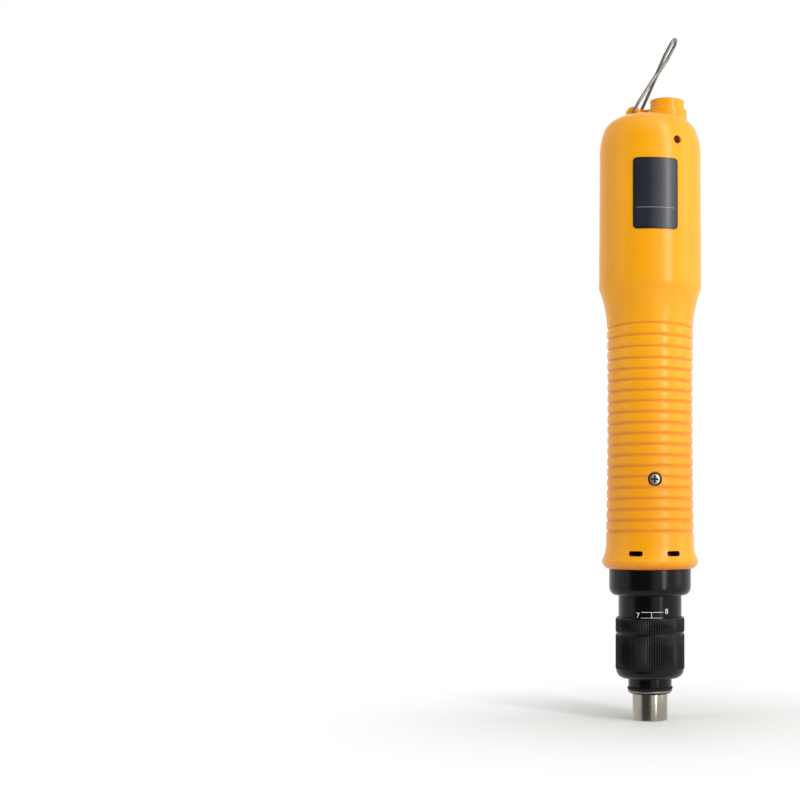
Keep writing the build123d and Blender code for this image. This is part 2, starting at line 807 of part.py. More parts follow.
def reversing_switch():
    """Rocker switch in the back of the upper body."""
    half_x, half_z = switch_frame_size[0] / 2, switch_frame_size[1] / 2
    outer_y = body_radius + switch_proud
    bezel_y = outer_y - switch_bezel_depth
    low_y = outer_y - switch_frame_depth
    frame = block((-half_x, half_x), (low_y, bezel_y), (switch_z - half_z, switch_z + half_z))
    bezel_z = half_z + switch_bezel
    bezel_x = half_x + switch_bezel
    frame += block((-bezel_x, bezel_x), (bezel_y, outer_y), (switch_z - bezel_z, switch_z + bezel_z))
    hole_x = rocker_width / 2 + part_gap
    hole_z = rocker_length / 2 + 0.9
    frame -= block((-hole_x, hole_x), (low_y + switch_back, outer_y), (switch_z - hole_z, switch_z + hole_z))
    pivot_y = outer_y - rocker_sink
    frame -= bar_x(rocker_pin_radius + slide_gap, -half_x, half_x, pivot_y, switch_z)
    half = rocker_length / 2
    dip = half * math.tan(math.radians(rocker_tilt))
    profile = [
        (pivot_y + rocker_wing, -half),
        (pivot_y + rocker_wing - dip, 0),
        (pivot_y + rocker_wing, half),
        (pivot_y - 0.6, half - 0.7),
        (pivot_y - rocker_wing, 1.6),
        (pivot_y - rocker_wing, -1.6),
        (pivot_y - 0.6, 0.7 - half),
    ]
    outline = [(y, z + switch_z) for y, z in profile]
    side = make_face(Polyline(*outline, close=True))
    body = Pos(-rocker_width / 2, 0, 0) * extrude(Plane.YZ * side, rocker_width)
    pins = bar_x(rocker_pin_radius, -half_x + 0.2, half_x - 0.2, pivot_y, switch_z)
    return {"reversing_switch_frame": frame, "reversing_rocker": body + pins}


def cord_socket():
    """Threaded collar and barrel that pass through the dome, with an insulator and its contacts."""
    at = (socket_x, 0)
    floor_z = socket_top_z - socket_depth
    barrel = cyl(socket_barrel_radius, socket_base_z, socket_tier_z, at)
    barrel += cyl(socket_radius, socket_tier_z, socket_top_z, at)
    barrel += cyl(socket_flange_radius, socket_base_z, socket_base_z + socket_flange_height, at)
    barrel -= cyl(socket_bore, floor_z, socket_top_z, at)
    barrel -= cyl(socket_bore - 0.5, socket_base_z, floor_z, at)
    insulator = cyl(socket_bore - 0.52, socket_base_z, floor_z, at)
    contacts = []
    for i in range(contact_count):
        place = polar(contact_circle, 180 + 45 * (i - 2))
        pin_at = (socket_x + place[0], place[1])
        insulator -= cyl(contact_radius, socket_base_z, floor_z, pin_at)
        contact = cyl(contact_radius - 0.02, socket_base_z - 2.5, floor_z - 0.3, pin_at)
        contact -= cyl(contact_radius / 2, floor_z - contact_bore_depth, floor_z, pin_at)
        contacts.append(contact)
    return {"cord_socket": barrel, "socket_insulator": insulator, "socket_contacts": contacts}


# Housing shells

def body_curves(inset, start_z):
    """Grip, flare, upper body and dome, drawn inside the skin by the inset, from the grip up to the axis."""
    def inside(point):
        return (point[0] - inset, point[1])

    def below(point):
        return (point[0] - 0.7 * inset, point[1] - 0.7 * inset)

    grip_start = (grip_low_radius - inset, start_z)
    grip_end = (grip_top_radius - inset, flare_z)
    body_start = (body_radius - inset, body_z)
    body_end = (body_top_radius - inset, shoulder_z)
    crown = (0, crown_z - inset)
    crown_start = (crown_edge[0], crown_edge[1] - inset)
    return [
        ThreePointArc(grip_start, (grip_waist_radius - inset, grip_waist_z), grip_end),
        ThreePointArc(grip_end, inside(flare_mid), inside(flare_edge)),
        ThreePointArc(inside(flare_edge), inside(flare_round), body_start),
        Line(body_start, body_end),
        ThreePointArc(body_end, inside(dome_mid), below(dome_edge)),
        ThreePointArc(below(dome_edge), below(crown_mid), crown_start),
        Line(crown_start, crown),
    ]


def grip_radius_at(z):
    """Radius of the grip's waisted skin at a height, from a parabola through its three named points."""
    ends = ((grip_z, grip_low_radius), (grip_waist_z, grip_waist_radius), (flare_z, grip_top_radius))
    total = 0.0
    for here, radius in ends:
        share = radius
        for other, _ in ends:
            if other != here:
                share *= (z - other) / (here - other)
        total += share
    return total


def skin():
    """Solid inside the housing's outer skin."""
    bulge = (flange_radius - flange_bulge[0], housing_z + flange_bulge[1])
    dip = (grip_low_radius + flange_dip[0], flange_z + flange_dip[1])
    edges = [
        Line((0, housing_z), (flange_low_radius, housing_z)),
        ThreePointArc((flange_low_radius, housing_z), bulge, (flange_radius, flange_z)),
        ThreePointArc((flange_radius, flange_z), dip, (grip_low_radius, grip_z)),
    ]
    edges += body_curves(0.0, grip_z)
    edges.append(Line((0, crown_z), (0, housing_z)))
    return turned_curve(edges)


def cavity():
    """Hollow that the motor, the switch and the board lie in, with the nose's seat below."""
    edges = [Line((0, grip_z), (grip_low_radius - wall, grip_z))]
    edges += body_curves(wall, grip_z)
    edges.append(Line((0, crown_z - wall), (0, grip_z)))
    hollow = turned_curve(edges)
    flange_top = nose_flange_z + nose_flange_thickness
    hollow += cyl(nose_flange_radius - 1, housing_z, nose_flange_z)
    hollow += cyl(nose_flange_radius + slide_gap, nose_flange_z - slide_gap, flange_top + slide_gap)
    hollow += cyl(gear_case_radius + part_gap, nose_flange_z, grip_z)
    return hollow


def rib(low, inner, reach, window=None):
    """Bulkhead rib between a bore and the wall, or with a rectangular window."""
    high = low + rib_thickness
    disc = cyl(reach, low, high)
    if window:
        return disc - block((-window[0], window[0]), (-window[1], window[1]), (low, high))
    return disc - cyl(inner, low, high)


def ribs():
    """Bulkheads that hold the gear case, the motor, the start switch and the board."""
    grip_reach = grip_waist_radius - wall / 2
    upper_reach = body_top_radius - wall / 2
    case_bore = gear_case_radius + part_gap / 2
    can_bore = motor_radius + part_gap
    case_span = case_top_z - nose_top_z
    can_span = can_top_z - motor_z
    found = [rib(nose_top_z + share * case_span, case_bore, grip_reach) for share in (0.3, 0.7)]
    found += [rib(motor_z + share * can_span, can_bore, grip_reach) for share in (0.2, 0.6)]
    found.append(rib(can_top_z + 1, can_bore, grip_reach))
    found.append(rib(cap_top_z + part_gap, motor_bearing_radius + 6, grip_reach))
    window = (start_switch_size[0] / 2 + slide_gap, start_switch_size[1] / 2 + slide_gap)
    for low in (start_switch_z + 1, start_switch_top_z - rib_thickness - 1):
        found.append(rib(low, 0, grip_reach, window))
    found.append(rib(board_z - rib_thickness - slide_gap, board_half_width - 2, grip_top_radius - wall / 2))
    slot_half = board_thickness / 2 + slide_gap
    for low, reach in ((board_z + 8, flare_mid[0]), (board_top_z - 7, upper_reach)):
        slotted = rib(low, board_half_width - 1.5, reach)
        slot_x = board_half_width + slide_gap
        found.append(slotted - block((-slot_x, slot_x), (-slot_half, slot_half), (low, low + rib_thickness)))
    mount_low = grip_screw_z - boss_radius + 1
    mount_high = grip_screw_z + boss_radius - 1
    found.append(tube(grip_reach, case_bore, mount_low, mount_high))
    return found


def hanger_ear():
    """Rounded ear on the dome, turned with the bail's pivot."""
    half_x, half_y = ear_width / 2, ear_thickness / 2
    base_z = crown_z - 2 * wall
    ear = block((-half_x, half_x), (-half_y, half_y), (base_z, ear_top_z - half_x))
    ear += bar_y(half_x, -half_y, half_y, 0, ear_top_z - half_x)
    return Pos(ear_x, 0, 0) * Rot(0, 0, -hanger_turn) * ear


def hanger_hole():
    hole = bar_y(bail_wire + slide_gap, -ear_thickness, ear_thickness, 0, pivot_z)
    return Pos(ear_x, 0, 0) * Rot(0, 0, -hanger_turn) * hole


def grip_grooves(side):
    """Grooves round one half of the grip; the top ones bow up towards the middle of the half."""
    cutters = []
    tilts = [0.0] * (groove_count - len(groove_tilts)) + list(groove_tilts)
    for i in range(groove_count):
        z = groove_first_z + i * groove_pitch
        outer = grip_radius_at(z)
        tilt = tilts[i]
        cutter = turned(
            (outer - groove_depth, -groove_floor / 2),
            (outer + groove_depth, -groove_width / 2 - groove_depth),
            (outer + groove_depth, groove_width / 2 + groove_depth),
            (outer - groove_depth, groove_floor / 2),
        )
        cutters.append(Pos(0, 0, z) * Rot(side * tilt, 0, 0) * cutter)
    return cutters


def vents():
    """Two slots at the front and two at the back, above the flange."""
    length, width = vent_size
    half = (length - width) / 2
    inner = wall - gear_case_radius
    slot = block((-half, half), (-past_skin, inner), (vent_z - width / 2, vent_z + width / 2))
    for end in (-half, half):
        slot += bar_y(width / 2, -past_skin, inner, end, vent_z)
    return [Rot(0, 0, back + side * vent_angle) * slot for back in (0, 180) for side in (-1, 1)]


def plate_prism(margin):
    """Rounded rectangle of the rating plate, pushed through the front."""
    profile = RectangleRounded(plate_width + 2 * margin, plate_height + 2 * margin, plate_corner + margin)
    prism = extrude(Plane.XZ * profile, past_skin)
    return Pos(0, 0, plate_z + plate_height / 2) * prism


def rating_plate():
    """Thin plate that follows the upper body's curve."""
    outer = body_radius + plate_proud
    high = plate_z + plate_height + 2
    return tube(outer, outer - plate_thickness, plate_z - 2, high) & plate_prism(0)


def led_lens():
    """Domed lens that sits in its hole a little below the skin."""
    face = lens_sink - dome_mid[0]
    back = face + lens_length
    barrel = bar_y(lens_radius, face, back, 0, lens_z)
    barrel += bar_y(lens_flange_radius, back - lens_flange_height, back, 0, lens_z)
    return Rot(0, 0, lens_angle) * barrel


def screw_seat_y():
    """Depth of the grip screw's seat from the axis."""
    return grip_radius_at(grip_screw_z) - grip_screw_recess - screw_head_height


def shell_screws():
    """Grip screws at the front and back, and the upper screw under the rating plate."""
    seat = screw_seat_y()
    grip_screw = bar_y(screw_radius, -seat, grip_screw_bite - gear_case_radius, 0, grip_screw_z)
    grip_screw += bar_y(screw_head_radius, -seat - screw_head_height, -seat, 0, grip_screw_z)
    depth = (-past_skin, -seat - screw_head_height + cross_depth)
    arm = cross_length / 2
    half = cross_width / 2
    grip_screw -= block((-half, half), depth, (grip_screw_z - arm, grip_screw_z + arm))
    grip_screw -= block((-arm, arm), depth, (grip_screw_z - half, grip_screw_z + half))
    upper_seat = body_radius - upper_screw_recess
    upper_screw = bar_y(screw_radius, -upper_seat, upper_screw_tip_y, 0, upper_screw_z)
    upper_screw += bar_y(screw_head_radius, -upper_seat - screw_head_height, -upper_seat, 0, upper_screw_z)
    return [grip_screw, Rot(0, 0, 180) * grip_screw, upper_screw]


def screw_cuts():
    """Counterbores and screw holes in the shells."""
    seat = screw_seat_y()
    cut = bar_y(grip_screw_counterbore, -past_skin, -seat, 0, grip_screw_z)
    cut += bar_y(screw_radius + part_gap, -past_skin, -gear_case_radius, 0, grip_screw_z)
    upper_seat = body_radius - upper_screw_recess
    upper = bar_y(grip_screw_counterbore, -past_skin, -upper_seat, 0, upper_screw_z)
    upper += bar_y(screw_radius + part_gap, -past_skin, 0, 0, upper_screw_z)
    upper += bar_y(screw_radius + screw_bite, 0, upper_screw_tip_y + moving_gap, 0, upper_screw_z)
    return [cut, Rot(0, 0, 180) * cut, upper]


def switch_window():
    """Hole and bezel seat of the reversing switch."""
    half_x, half_z = switch_frame_size[0] / 2 + slide_gap, switch_frame_size[1] / 2 + slide_gap
    outer_y = body_radius + switch_proud
    bezel_y = outer_y - switch_bezel_depth
    inner_y = body_radius - switch_frame_depth
    window = block((-half_x, half_x), (inner_y, past_skin), (switch_z - half_z, switch_z + half_z))
    bezel_x, bezel_z = half_x + switch_bezel, half_z + switch_bezel
    return window + block((-bezel_x, bezel_x), (bezel_y, past_skin), (switch_z - bezel_z, switch_z + bezel_z))


def housing():
    """Whole housing before it is parted into its halves."""
    shape = skin()
    tier = cyl(socket_tier_radius, socket_base_z, socket_tier_z, (socket_x, 0))
    shape += chamfer(tier.edges().sort_by(Axis.Z)[-1], tier_chamfer)
    shape += hanger_ear()
    solid_skin = shape
    shape -= cavity()
    shape += [piece & skin() for piece in ribs()]
    bosses = bar_y(boss_radius, -body_radius, body_radius, 0, upper_screw_z)
    skin_radius = grip_radius_at(grip_screw_z)
    seat_radius = gear_case_radius + part_gap / 2
    for low, high in ((-skin_radius, -seat_radius), (seat_radius, skin_radius)):
        bosses += bar_y(boss_radius, low, high, 0, grip_screw_z)
    shape += bosses & solid_skin
    plate_seat = body_radius + plate_proud - plate_thickness - plate_seat_gap
    shape -= tube(past_skin, plate_seat, plate_z - 1, plate_z + plate_height + 1) & plate_prism(part_gap)
    shape -= screw_cuts()
    shape -= vents()
    shape -= switch_window()
    shape -= hanger_hole()
    shape -= cyl(socket_barrel_radius + part_gap / 2, socket_base_z, socket_tier_z, (socket_x, 0))
    flange_top = socket_base_z + socket_flange_height
    shape -= cyl(socket_flange_radius + part_gap, socket_base_z - 8, flange_top + slide_gap, (socket_x, 0))
    shoulder = lens_length - dome_mid[0] + lens_sink - lens_flange_height - slide_gap
    lens_hole = bar_y(lens_radius + slide_gap, -past_skin, shoulder, 0, lens_z)
    lens_hole += bar_y(lens_flange_radius + 4 * slide_gap, shoulder, shoulder + 2 * lens_length, 0, lens_z)
    return shape - Rot(0, 0, lens_angle) * lens_hole


def shells():
    whole = housing()
    span = (-past_skin, past_skin)
    heights = (0, ear_top_z + wall)
    front = whole & block(span, (-past_skin, 0), heights)
    rear = whole & block(span, (0, past_skin), heights)
    for cutter in grip_grooves(1):
        rear -= cutter
    for cutter in grip_grooves(-1):
        front -= cutter
    return {"front_shell": front, "rear_shell": rear}


def hanger_bail():
    """Bent wire: two stubs in the ear, two legs that close to a waist, and an eye above it."""
    lean = math.tan(math.radians(bail_lean))
    up = Vector(lean, -lean * math.tan(math.radians(hanger_turn)), 1).normalized()
    pivot = Vector(ear_x, 0, pivot_z)

    def place(across, along):
        return pivot + hanger_axis * across + up * along

    side = [
        (bail_stub, 0),
        (bail_half_width, 0),
        (bail_half_width, bail_shank),
        bail_waist,
        (bail_eye_half_width, bail_eye_low),
        (bail_eye_half_width, bail_length),
    ]
    points = [place(*p) for p in side] + [place(-a, t) for a, t in reversed(side)]
    low, shank, waist, eye = bail_bends
    top = bail_eye_half_width - 0.05
    bends = [low, shank, waist, eye, top, top, eye, waist, shank, low]
    path = FilletPolyline(*points, radius=bends)
    return sweep(Plane(origin=path @ 0, z_dir=path % 0) * Circle(bail_wire), path=path)


def all_parts():
    parts = {}
    parts.update(chuck_parts())
    parts.update(spindle_parts())
    parts["nose_housing"] = nose_housing()
    parts.update(nose_rings())
    parts["torque_ring"] = torque_ring()
    parts.update(clutch_parts())
    parts.update(gear_train())
    parts["gear_case"] = gear_case()
    parts.update(motor_parts())
    parts.update(start_switch_parts())
    parts.update(board_parts())
    parts.update(reversing_switch())
    parts.update(cord_socket())
    parts["rating_plate"] = rating_plate()
    parts["led_lens"] = led_lens()
    parts["shell_screws"] = shell_screws()
    parts["hanger_bail"] = hanger_bail()
    parts.update(shells())
    return parts


def single(shape):
    """One solid, or a compound of a group's solids."""
    pieces = shape if isinstance(shape, list) else [shape]
    solids = [solid for piece in pieces for solid in piece.solids()]
    return solids[0] if len(solids) == 1 else Compound(solids)


os.makedirs("parts", exist_ok=True)
for node, shape in all_parts().items():
    export_step(single(shape), f"parts/{node}.step")
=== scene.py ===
import json
import math

import bpy
import numpy as np
from mathutils import Euler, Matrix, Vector


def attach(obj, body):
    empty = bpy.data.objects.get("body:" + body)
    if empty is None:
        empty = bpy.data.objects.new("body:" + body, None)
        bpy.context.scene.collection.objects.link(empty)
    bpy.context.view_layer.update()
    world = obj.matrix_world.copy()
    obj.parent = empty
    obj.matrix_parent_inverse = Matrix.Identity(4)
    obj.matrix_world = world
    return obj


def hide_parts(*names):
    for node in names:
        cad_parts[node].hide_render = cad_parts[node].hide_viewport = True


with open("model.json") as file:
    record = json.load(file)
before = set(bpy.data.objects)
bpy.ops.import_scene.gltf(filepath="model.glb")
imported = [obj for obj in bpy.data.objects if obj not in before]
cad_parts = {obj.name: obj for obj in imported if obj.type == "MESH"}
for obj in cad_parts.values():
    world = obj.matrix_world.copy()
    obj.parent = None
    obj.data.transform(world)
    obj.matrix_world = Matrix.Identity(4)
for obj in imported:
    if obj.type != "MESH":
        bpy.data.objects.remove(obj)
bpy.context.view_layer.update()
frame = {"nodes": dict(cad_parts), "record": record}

# Electric torque screwdriver, dressed round its CAD frame.
# Outlines are written in millimetres; the front, with the rating plate, faces -Y.

MM = 0.001
SMOOTH = math.radians(32)
WHITE = (1, 1, 1, 1)

# Sizes of the CAD frame that the visible pieces follow. The grip's points are height and radius.
grip_low, grip_waist, grip_top = (78.4, 20.32), (148.0, 19.77), (181.0, 20.1)
groove_first, groove_pitch, groove_count = 85.74, 4.896, 20
groove_tilts = (1.2, 2.4, 3.5)
shell_wall = 2.2
body_radius = 23.92
crown_z = 278.5
vent_z, vent_angle = 75.8, 24.6
screw_z, upper_screw_z = 109.2, 243.0
screw_recess = 1.0
screw_head_height = 1.4
plate_middle, plate_width, plate_height, plate_corner = 238.6, 21.2, 32.6, 1.8
plate_inner, plate_outer = 23.54, 24.04
switch_z = 222.0
socket_x, tier_radius, tier_bore, tier_top = 8.1, 9.3, 7.35, 283.0
hanger_turn, hanger_lean, wire_radius = 15.5, 27.7, 0.75
ear_x, ear_width, ear_thickness, ear_top = -7.4, 7.2, 7.4, 283.6
pivot_z = 279.55
lens_angle, lens_z, lens_face = 26.0, 264.1, 22.95
neck_radius = 14.5
ring_radius = 15.8

# Sizes of the scene's own detail
parting_gap = 0.01
plate_play = 0.24
divider_z = 232.0
ring_bare = 15.42
print_height, digit_size = 0.02, 3.4


# Handling of pieces

def select_only(piece):
    bpy.ops.object.select_all(action="DESELECT")
    piece.select_set(True)
    bpy.context.view_layer.objects.active = piece


def open_piece(piece):
    select_only(piece)
    bpy.ops.object.mode_set(mode="EDIT")


def close_piece():
    bpy.ops.object.mode_set(mode="OBJECT")


def places(piece):
    """Places of a piece's vertices in millimetres."""
    found = np.zeros(len(piece.data.vertices) * 3, np.float32)
    piece.data.vertices.foreach_get("co", found)
    return found.reshape(-1, 3) / MM


def pick(piece, chosen):
    """Opens a piece with only the chosen vertices selected."""
    mesh = piece.data
    mesh.vertices.foreach_set("select", np.array(chosen, bool))
    mesh.edges.foreach_set("select", np.zeros(len(mesh.edges), bool))
    mesh.polygons.foreach_set("select", np.zeros(len(mesh.polygons), bool))
    open_piece(piece)
    bpy.ops.mesh.select_mode(type="VERT")


def start_line(name, first):
    """New piece that is one vertex, open for editing."""
    bpy.ops.object.select_all(action="DESELECT")
    bpy.ops.mesh.primitive_plane_add(size=MM, location=(0, 0, 0))
    piece = bpy.context.view_layer.objects.active
    piece.name = name
    bpy.ops.object.mode_set(mode="EDIT")
    bpy.ops.mesh.select_mode(type="VERT")
    bpy.ops.mesh.merge(type="CENTER")
    bpy.ops.transform.translate(value=first * MM)
    return piece


def draw_line(points):
    """Extrudes the open piece's vertex from point to point."""
    for before, after in zip(points, points[1:]):
        step = (Vector(after) - Vector(before)) * MM
        bpy.ops.mesh.extrude_vertices_move(TRANSFORM_OT_translate={"value": step})


def turned(name, outline, steps=96, centre=(0.0, 0.0, 0.0), axis="Z", closed=True):
    """Piece turned about an axis from an outline of radius and height."""
    ring = outline + outline[:1] if closed else outline
    middle = Vector(centre)
    if axis == "Z":
        points = [middle + Vector((r, 0, h)) for r, h in ring]
        way = (0, 0, 1)
    else:
        points = [middle + Vector((r, h, 0)) for r, h in ring]
        way = (0, 1, 0)
    piece = start_line(name, points[0])
    draw_line(points)
    bpy.ops.mesh.select_all(action="SELECT")
    bpy.ops.mesh.spin(steps=steps, angle=2 * math.pi, center=middle * MM, axis=way)
    tidy_open(piece)
    return piece


def tidy_open(piece):
    """Closes seams and poles of the open piece, turns its faces out and closes it."""
    bpy.ops.mesh.select_all(action="SELECT")
    bpy.ops.mesh.remove_doubles(threshold=0.000002)
    bpy.ops.mesh.delete_loose(use_verts=True, use_edges=True, use_faces=False)
    bpy.ops.mesh.select_all(action="SELECT")
    bpy.ops.mesh.normals_make_consistent(inside=False)
    close_piece()
    return piece


def prism(name, outline, low, high):
    """Flat outline of X and Z points, raised along Y between two depths."""
    points = [Vector((x, low, z)) for x, z in outline + outline[:1]]
    piece = start_line(name, points[0])
    draw_line(points)
    bpy.ops.mesh.select_all(action="SELECT")
    bpy.ops.mesh.remove_doubles(threshold=0.000002)
    bpy.ops.mesh.edge_face_add()
    bpy.ops.mesh.extrude_region_move(TRANSFORM_OT_translate={"value": (0, (high - low) * MM, 0)})
    return tidy_open(piece)


def block(name, x, y, z, round_edge=0.0, segments=3):
    """Box between three pairs of limits, with its edges rounded."""
    middle = [(a + b) / 2 * MM for a, b in (x, y, z)]
    bpy.ops.object.select_all(action="DESELECT")
    bpy.ops.mesh.primitive_cube_add(size=1, location=middle)
    piece = bpy.context.view_layer.objects.active
    piece.name = name
    piece.scale = [(b - a) * MM for a, b in (x, y, z)]
    settle(piece)
    if round_edge:
        open_piece(piece)
        bpy.ops.mesh.select_all(action="SELECT")
        bpy.ops.mesh.bevel(offset=round_edge * MM, segments=segments, profile=0.5)
        close_piece()
    return piece


def sliced(piece, width, cuts):
    """Cuts a flat piece across its width at even steps, so that it can bend."""
    open_piece(piece)
    for i in range(-cuts, cuts + 1):
        bpy.ops.mesh.select_all(action="SELECT")
        place = i * width / (2 * cuts + 1.5) * MM
        bpy.ops.mesh.bisect(plane_co=(place, 0, 0), plane_no=(1, 0, 0))
    close_piece()
    return piece


def settle(piece):
    """Puts a piece's place, turn and scale into its mesh."""
    select_only(piece)
    bpy.ops.object.transform_apply(location=True, rotation=True, scale=True)
    return piece


def placed(piece, move=(0, 0, 0), turn=(0, 0, 0)):
    """Turns a piece about the origin, in degrees, and then moves it, in millimetres."""
    piece.rotation_euler = Euler([math.radians(t) for t in turn])
    piece.location = Vector(move) * MM
    return settle(piece)


def copied(piece, name, move=(0, 0, 0), turn=(0, 0, 0)):
    """Copy of a piece with its own mesh, placed anew."""
    select_only(piece)
    bpy.ops.object.duplicate(linked=False)
    twin = bpy.context.view_layer.objects.active
    twin.name = name
    return placed(twin, move, turn)


def joined(name, pieces):
    """Several pieces as one."""
    bpy.ops.object.select_all(action="DESELECT")
    for piece in pieces:
        piece.select_set(True)
    bpy.context.view_layer.objects.active = pieces[0]
    if len(pieces) > 1:
        bpy.ops.object.join()
    pieces[0].name = name
    return pieces[0]


def shaped(piece, kind, **settings):
    """Adds a modifier to a piece and applies it."""
    modifier = piece.modifiers.new(kind.title(), kind)
    for key, value in settings.items():
        setattr(modifier, key, value)
    select_only(piece)
    bpy.ops.object.modifier_apply(modifier=modifier.name)
    return piece


def merged(piece, others, operation="DIFFERENCE"):
    """Cuts other pieces out of a piece, or joins them to it as one solid."""
    tool = joined("tool", others)
    shaped(piece, "BOOLEAN", operation=operation, object=tool, solver="EXACT")
    bpy.data.objects.remove(tool)
    return piece


def finished(piece, body, slot, finish, *nodes):
    """Gives a piece its finish, its body and the CAD nodes that it stands for."""
    select_only(piece)
    bpy.ops.object.shade_smooth_by_angle(angle=SMOOTH)
    piece.data.materials.clear()
    piece.data.materials.append(finish)
    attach(piece, body)
    if nodes:
        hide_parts(*nodes)
    return piece


# Outlines

def arc(start, middle, end, steps):
    """Points of the circle through three points, without the first."""
    (ax, az), (bx, bz), (cx, cz) = start, middle, end
    d = 2 * (ax * (bz - cz) + bx * (cz - az) + cx * (az - bz))
    a2, b2, c2 = ax * ax + az * az, bx * bx + bz * bz, cx * cx + cz * cz
    ux = (a2 * (bz - cz) + b2 * (cz - az) + c2 * (az - bz)) / d
    uz = (a2 * (cx - bx) + b2 * (ax - cx) + c2 * (bx - ax)) / d
    radius = math.hypot(ax - ux, az - uz)
    first = math.atan2(az - uz, ax - ux)
    full = 2 * math.pi
    sweep = (math.atan2(cz - uz, cx - ux) - first) % full
    if (math.atan2(bz - uz, bx - ux) - first) % full > sweep:
        sweep -= full
    turns = [first + sweep * (i + 1) / steps for i in range(steps)]
    return [(ux + radius * math.cos(t), uz + radius * math.sin(t)) for t in turns]


def corner_arc(before, here, after, radius, steps):
    """Points of the arc that rounds a corner between two neighbours."""
    back, on = (before - here).normalized(), (after - here).normalized()
    half = back.angle(on) / 2
    centre = here + (back + on).normalized() * radius / math.sin(half)
    start = here + back * radius / math.tan(half) - centre
    end = here + on * radius / math.tan(half) - centre
    return [centre + start.slerp(end, s / steps) * start.length for s in range(steps + 1)]


def rounded(corners, steps=4):
    """Closed outline whose corners may carry a third number, the radius that rounds them."""
    found = []
    for i, corner in enumerate(corners):
        here = Vector(corner[:2])
        if len(corner) < 3:
            found.append(tuple(here))
            continue
        before, after = Vector(corners[i - 1][:2]), Vector(corners[(i + 1) % len(corners)][:2])
        found += [tuple(point) for point in corner_arc(before, here, after, corner[2], steps)]
    return found


def ellipse(centre, across, up, start, end, steps):
    """Points of an ellipse between two angles in degrees."""
    turns = [math.radians(start + (end - start) * i / steps) for i in range(steps + 1)]
    return [(centre[0] + across * math.cos(t), centre[1] + up * math.sin(t)) for t in turns]


def rounded_box(width, height, corner, steps=5):
    """Outline of a rectangle with round corners, about the origin."""
    half_x, half_z = width / 2, height / 2
    corners = [(-half_x, -half_z, corner), (half_x, -half_z, corner)]
    corners += [(half_x, half_z, corner), (-half_x, half_z, corner)]
    return rounded(corners, steps)


def grip_radius(z):
    """Radius of the waisted grip at a height."""
    total = 0.0
    for here in (grip_low, grip_waist, grip_top):
        share = here[1]
        for other in (grip_low, grip_waist, grip_top):
            if other != here:
                share *= (z - other[0]) / (here[0] - other[0])
        total += share
    return total


# Materials. Places in them are in metres.

def paint(code):
    """Linear colour from the hexadecimal one that a picture shows."""
    parts = [int(code[i:i + 2], 16) / 255 for i in (1, 3, 5)]
    return [p / 12.92 if p <= 0.04045 else ((p + 0.055) / 1.055) ** 2.4 for p in parts] + [1.0]


class Link:
    """Output of a node that can be written in sums."""

    def __init__(self, nodes, socket):
        self.nodes = nodes
        self.socket = socket

    def sum(self, operation, first, second=0.0):
        return self.nodes.node("Math", {"operation": operation}, {0: first, 1: second})

    def __add__(self, other):
        return self.sum("ADD", self, other)

    def __radd__(self, other):
        return self.sum("ADD", other, self)

    def __sub__(self, other):
        return self.sum("SUBTRACT", self, other)

    def __rsub__(self, other):
        return self.sum("SUBTRACT", other, self)

    def __mul__(self, other):
        return self.sum("MULTIPLY", self, other)

    def __rmul__(self, other):
        return self.sum("MULTIPLY", other, self)

    def __truediv__(self, other):
        return self.sum("DIVIDE", self, other)

    def __rtruediv__(self, other):
        return self.sum("DIVIDE", other, self)

    def __pow__(self, other):
        return self.sum("POWER", self, other)

    def __abs__(self):
        return self.sum("ABSOLUTE", self)

    def rise(self, low, high):
        """0 below one value and 1 above another, with a soft passage."""
        settings = {"interpolation_type": "SMOOTHSTEP"}
        sockets = {"Value": self, "From Min": low, "From Max": high}
        return self.nodes.node("MapRange", settings, sockets)


class Nodes:
    """Node tree whose nodes are written as values."""

    def __init__(self, tree):
        self.tree = tree

    def join(self, socket, value):
        if isinstance(value, Link):
            self.tree.links.new(value.socket, socket)
        else:
            socket.default_value = value

    def node(self, kind, settings, sockets, output=0):
        """New node with its settings, and with a value or a link on each socket named."""
        made = self.tree.nodes.new("ShaderNode" + kind)
        for key, value in settings.items():
            setattr(made, key, value)
        for key, value in sockets.items():
            self.join(made.inputs[key], value)
        return Link(self, made.outputs[output])

    def seen_by(self, *rays):
        """1 for light rays of the kinds named, and 0 for the others."""
        found = self.node("LightPath", {}, {}, rays[0])
        for ray in rays[1:]:
            found = found.sum("MAXIMUM", found, self.node("LightPath", {}, {}, ray))
        return found


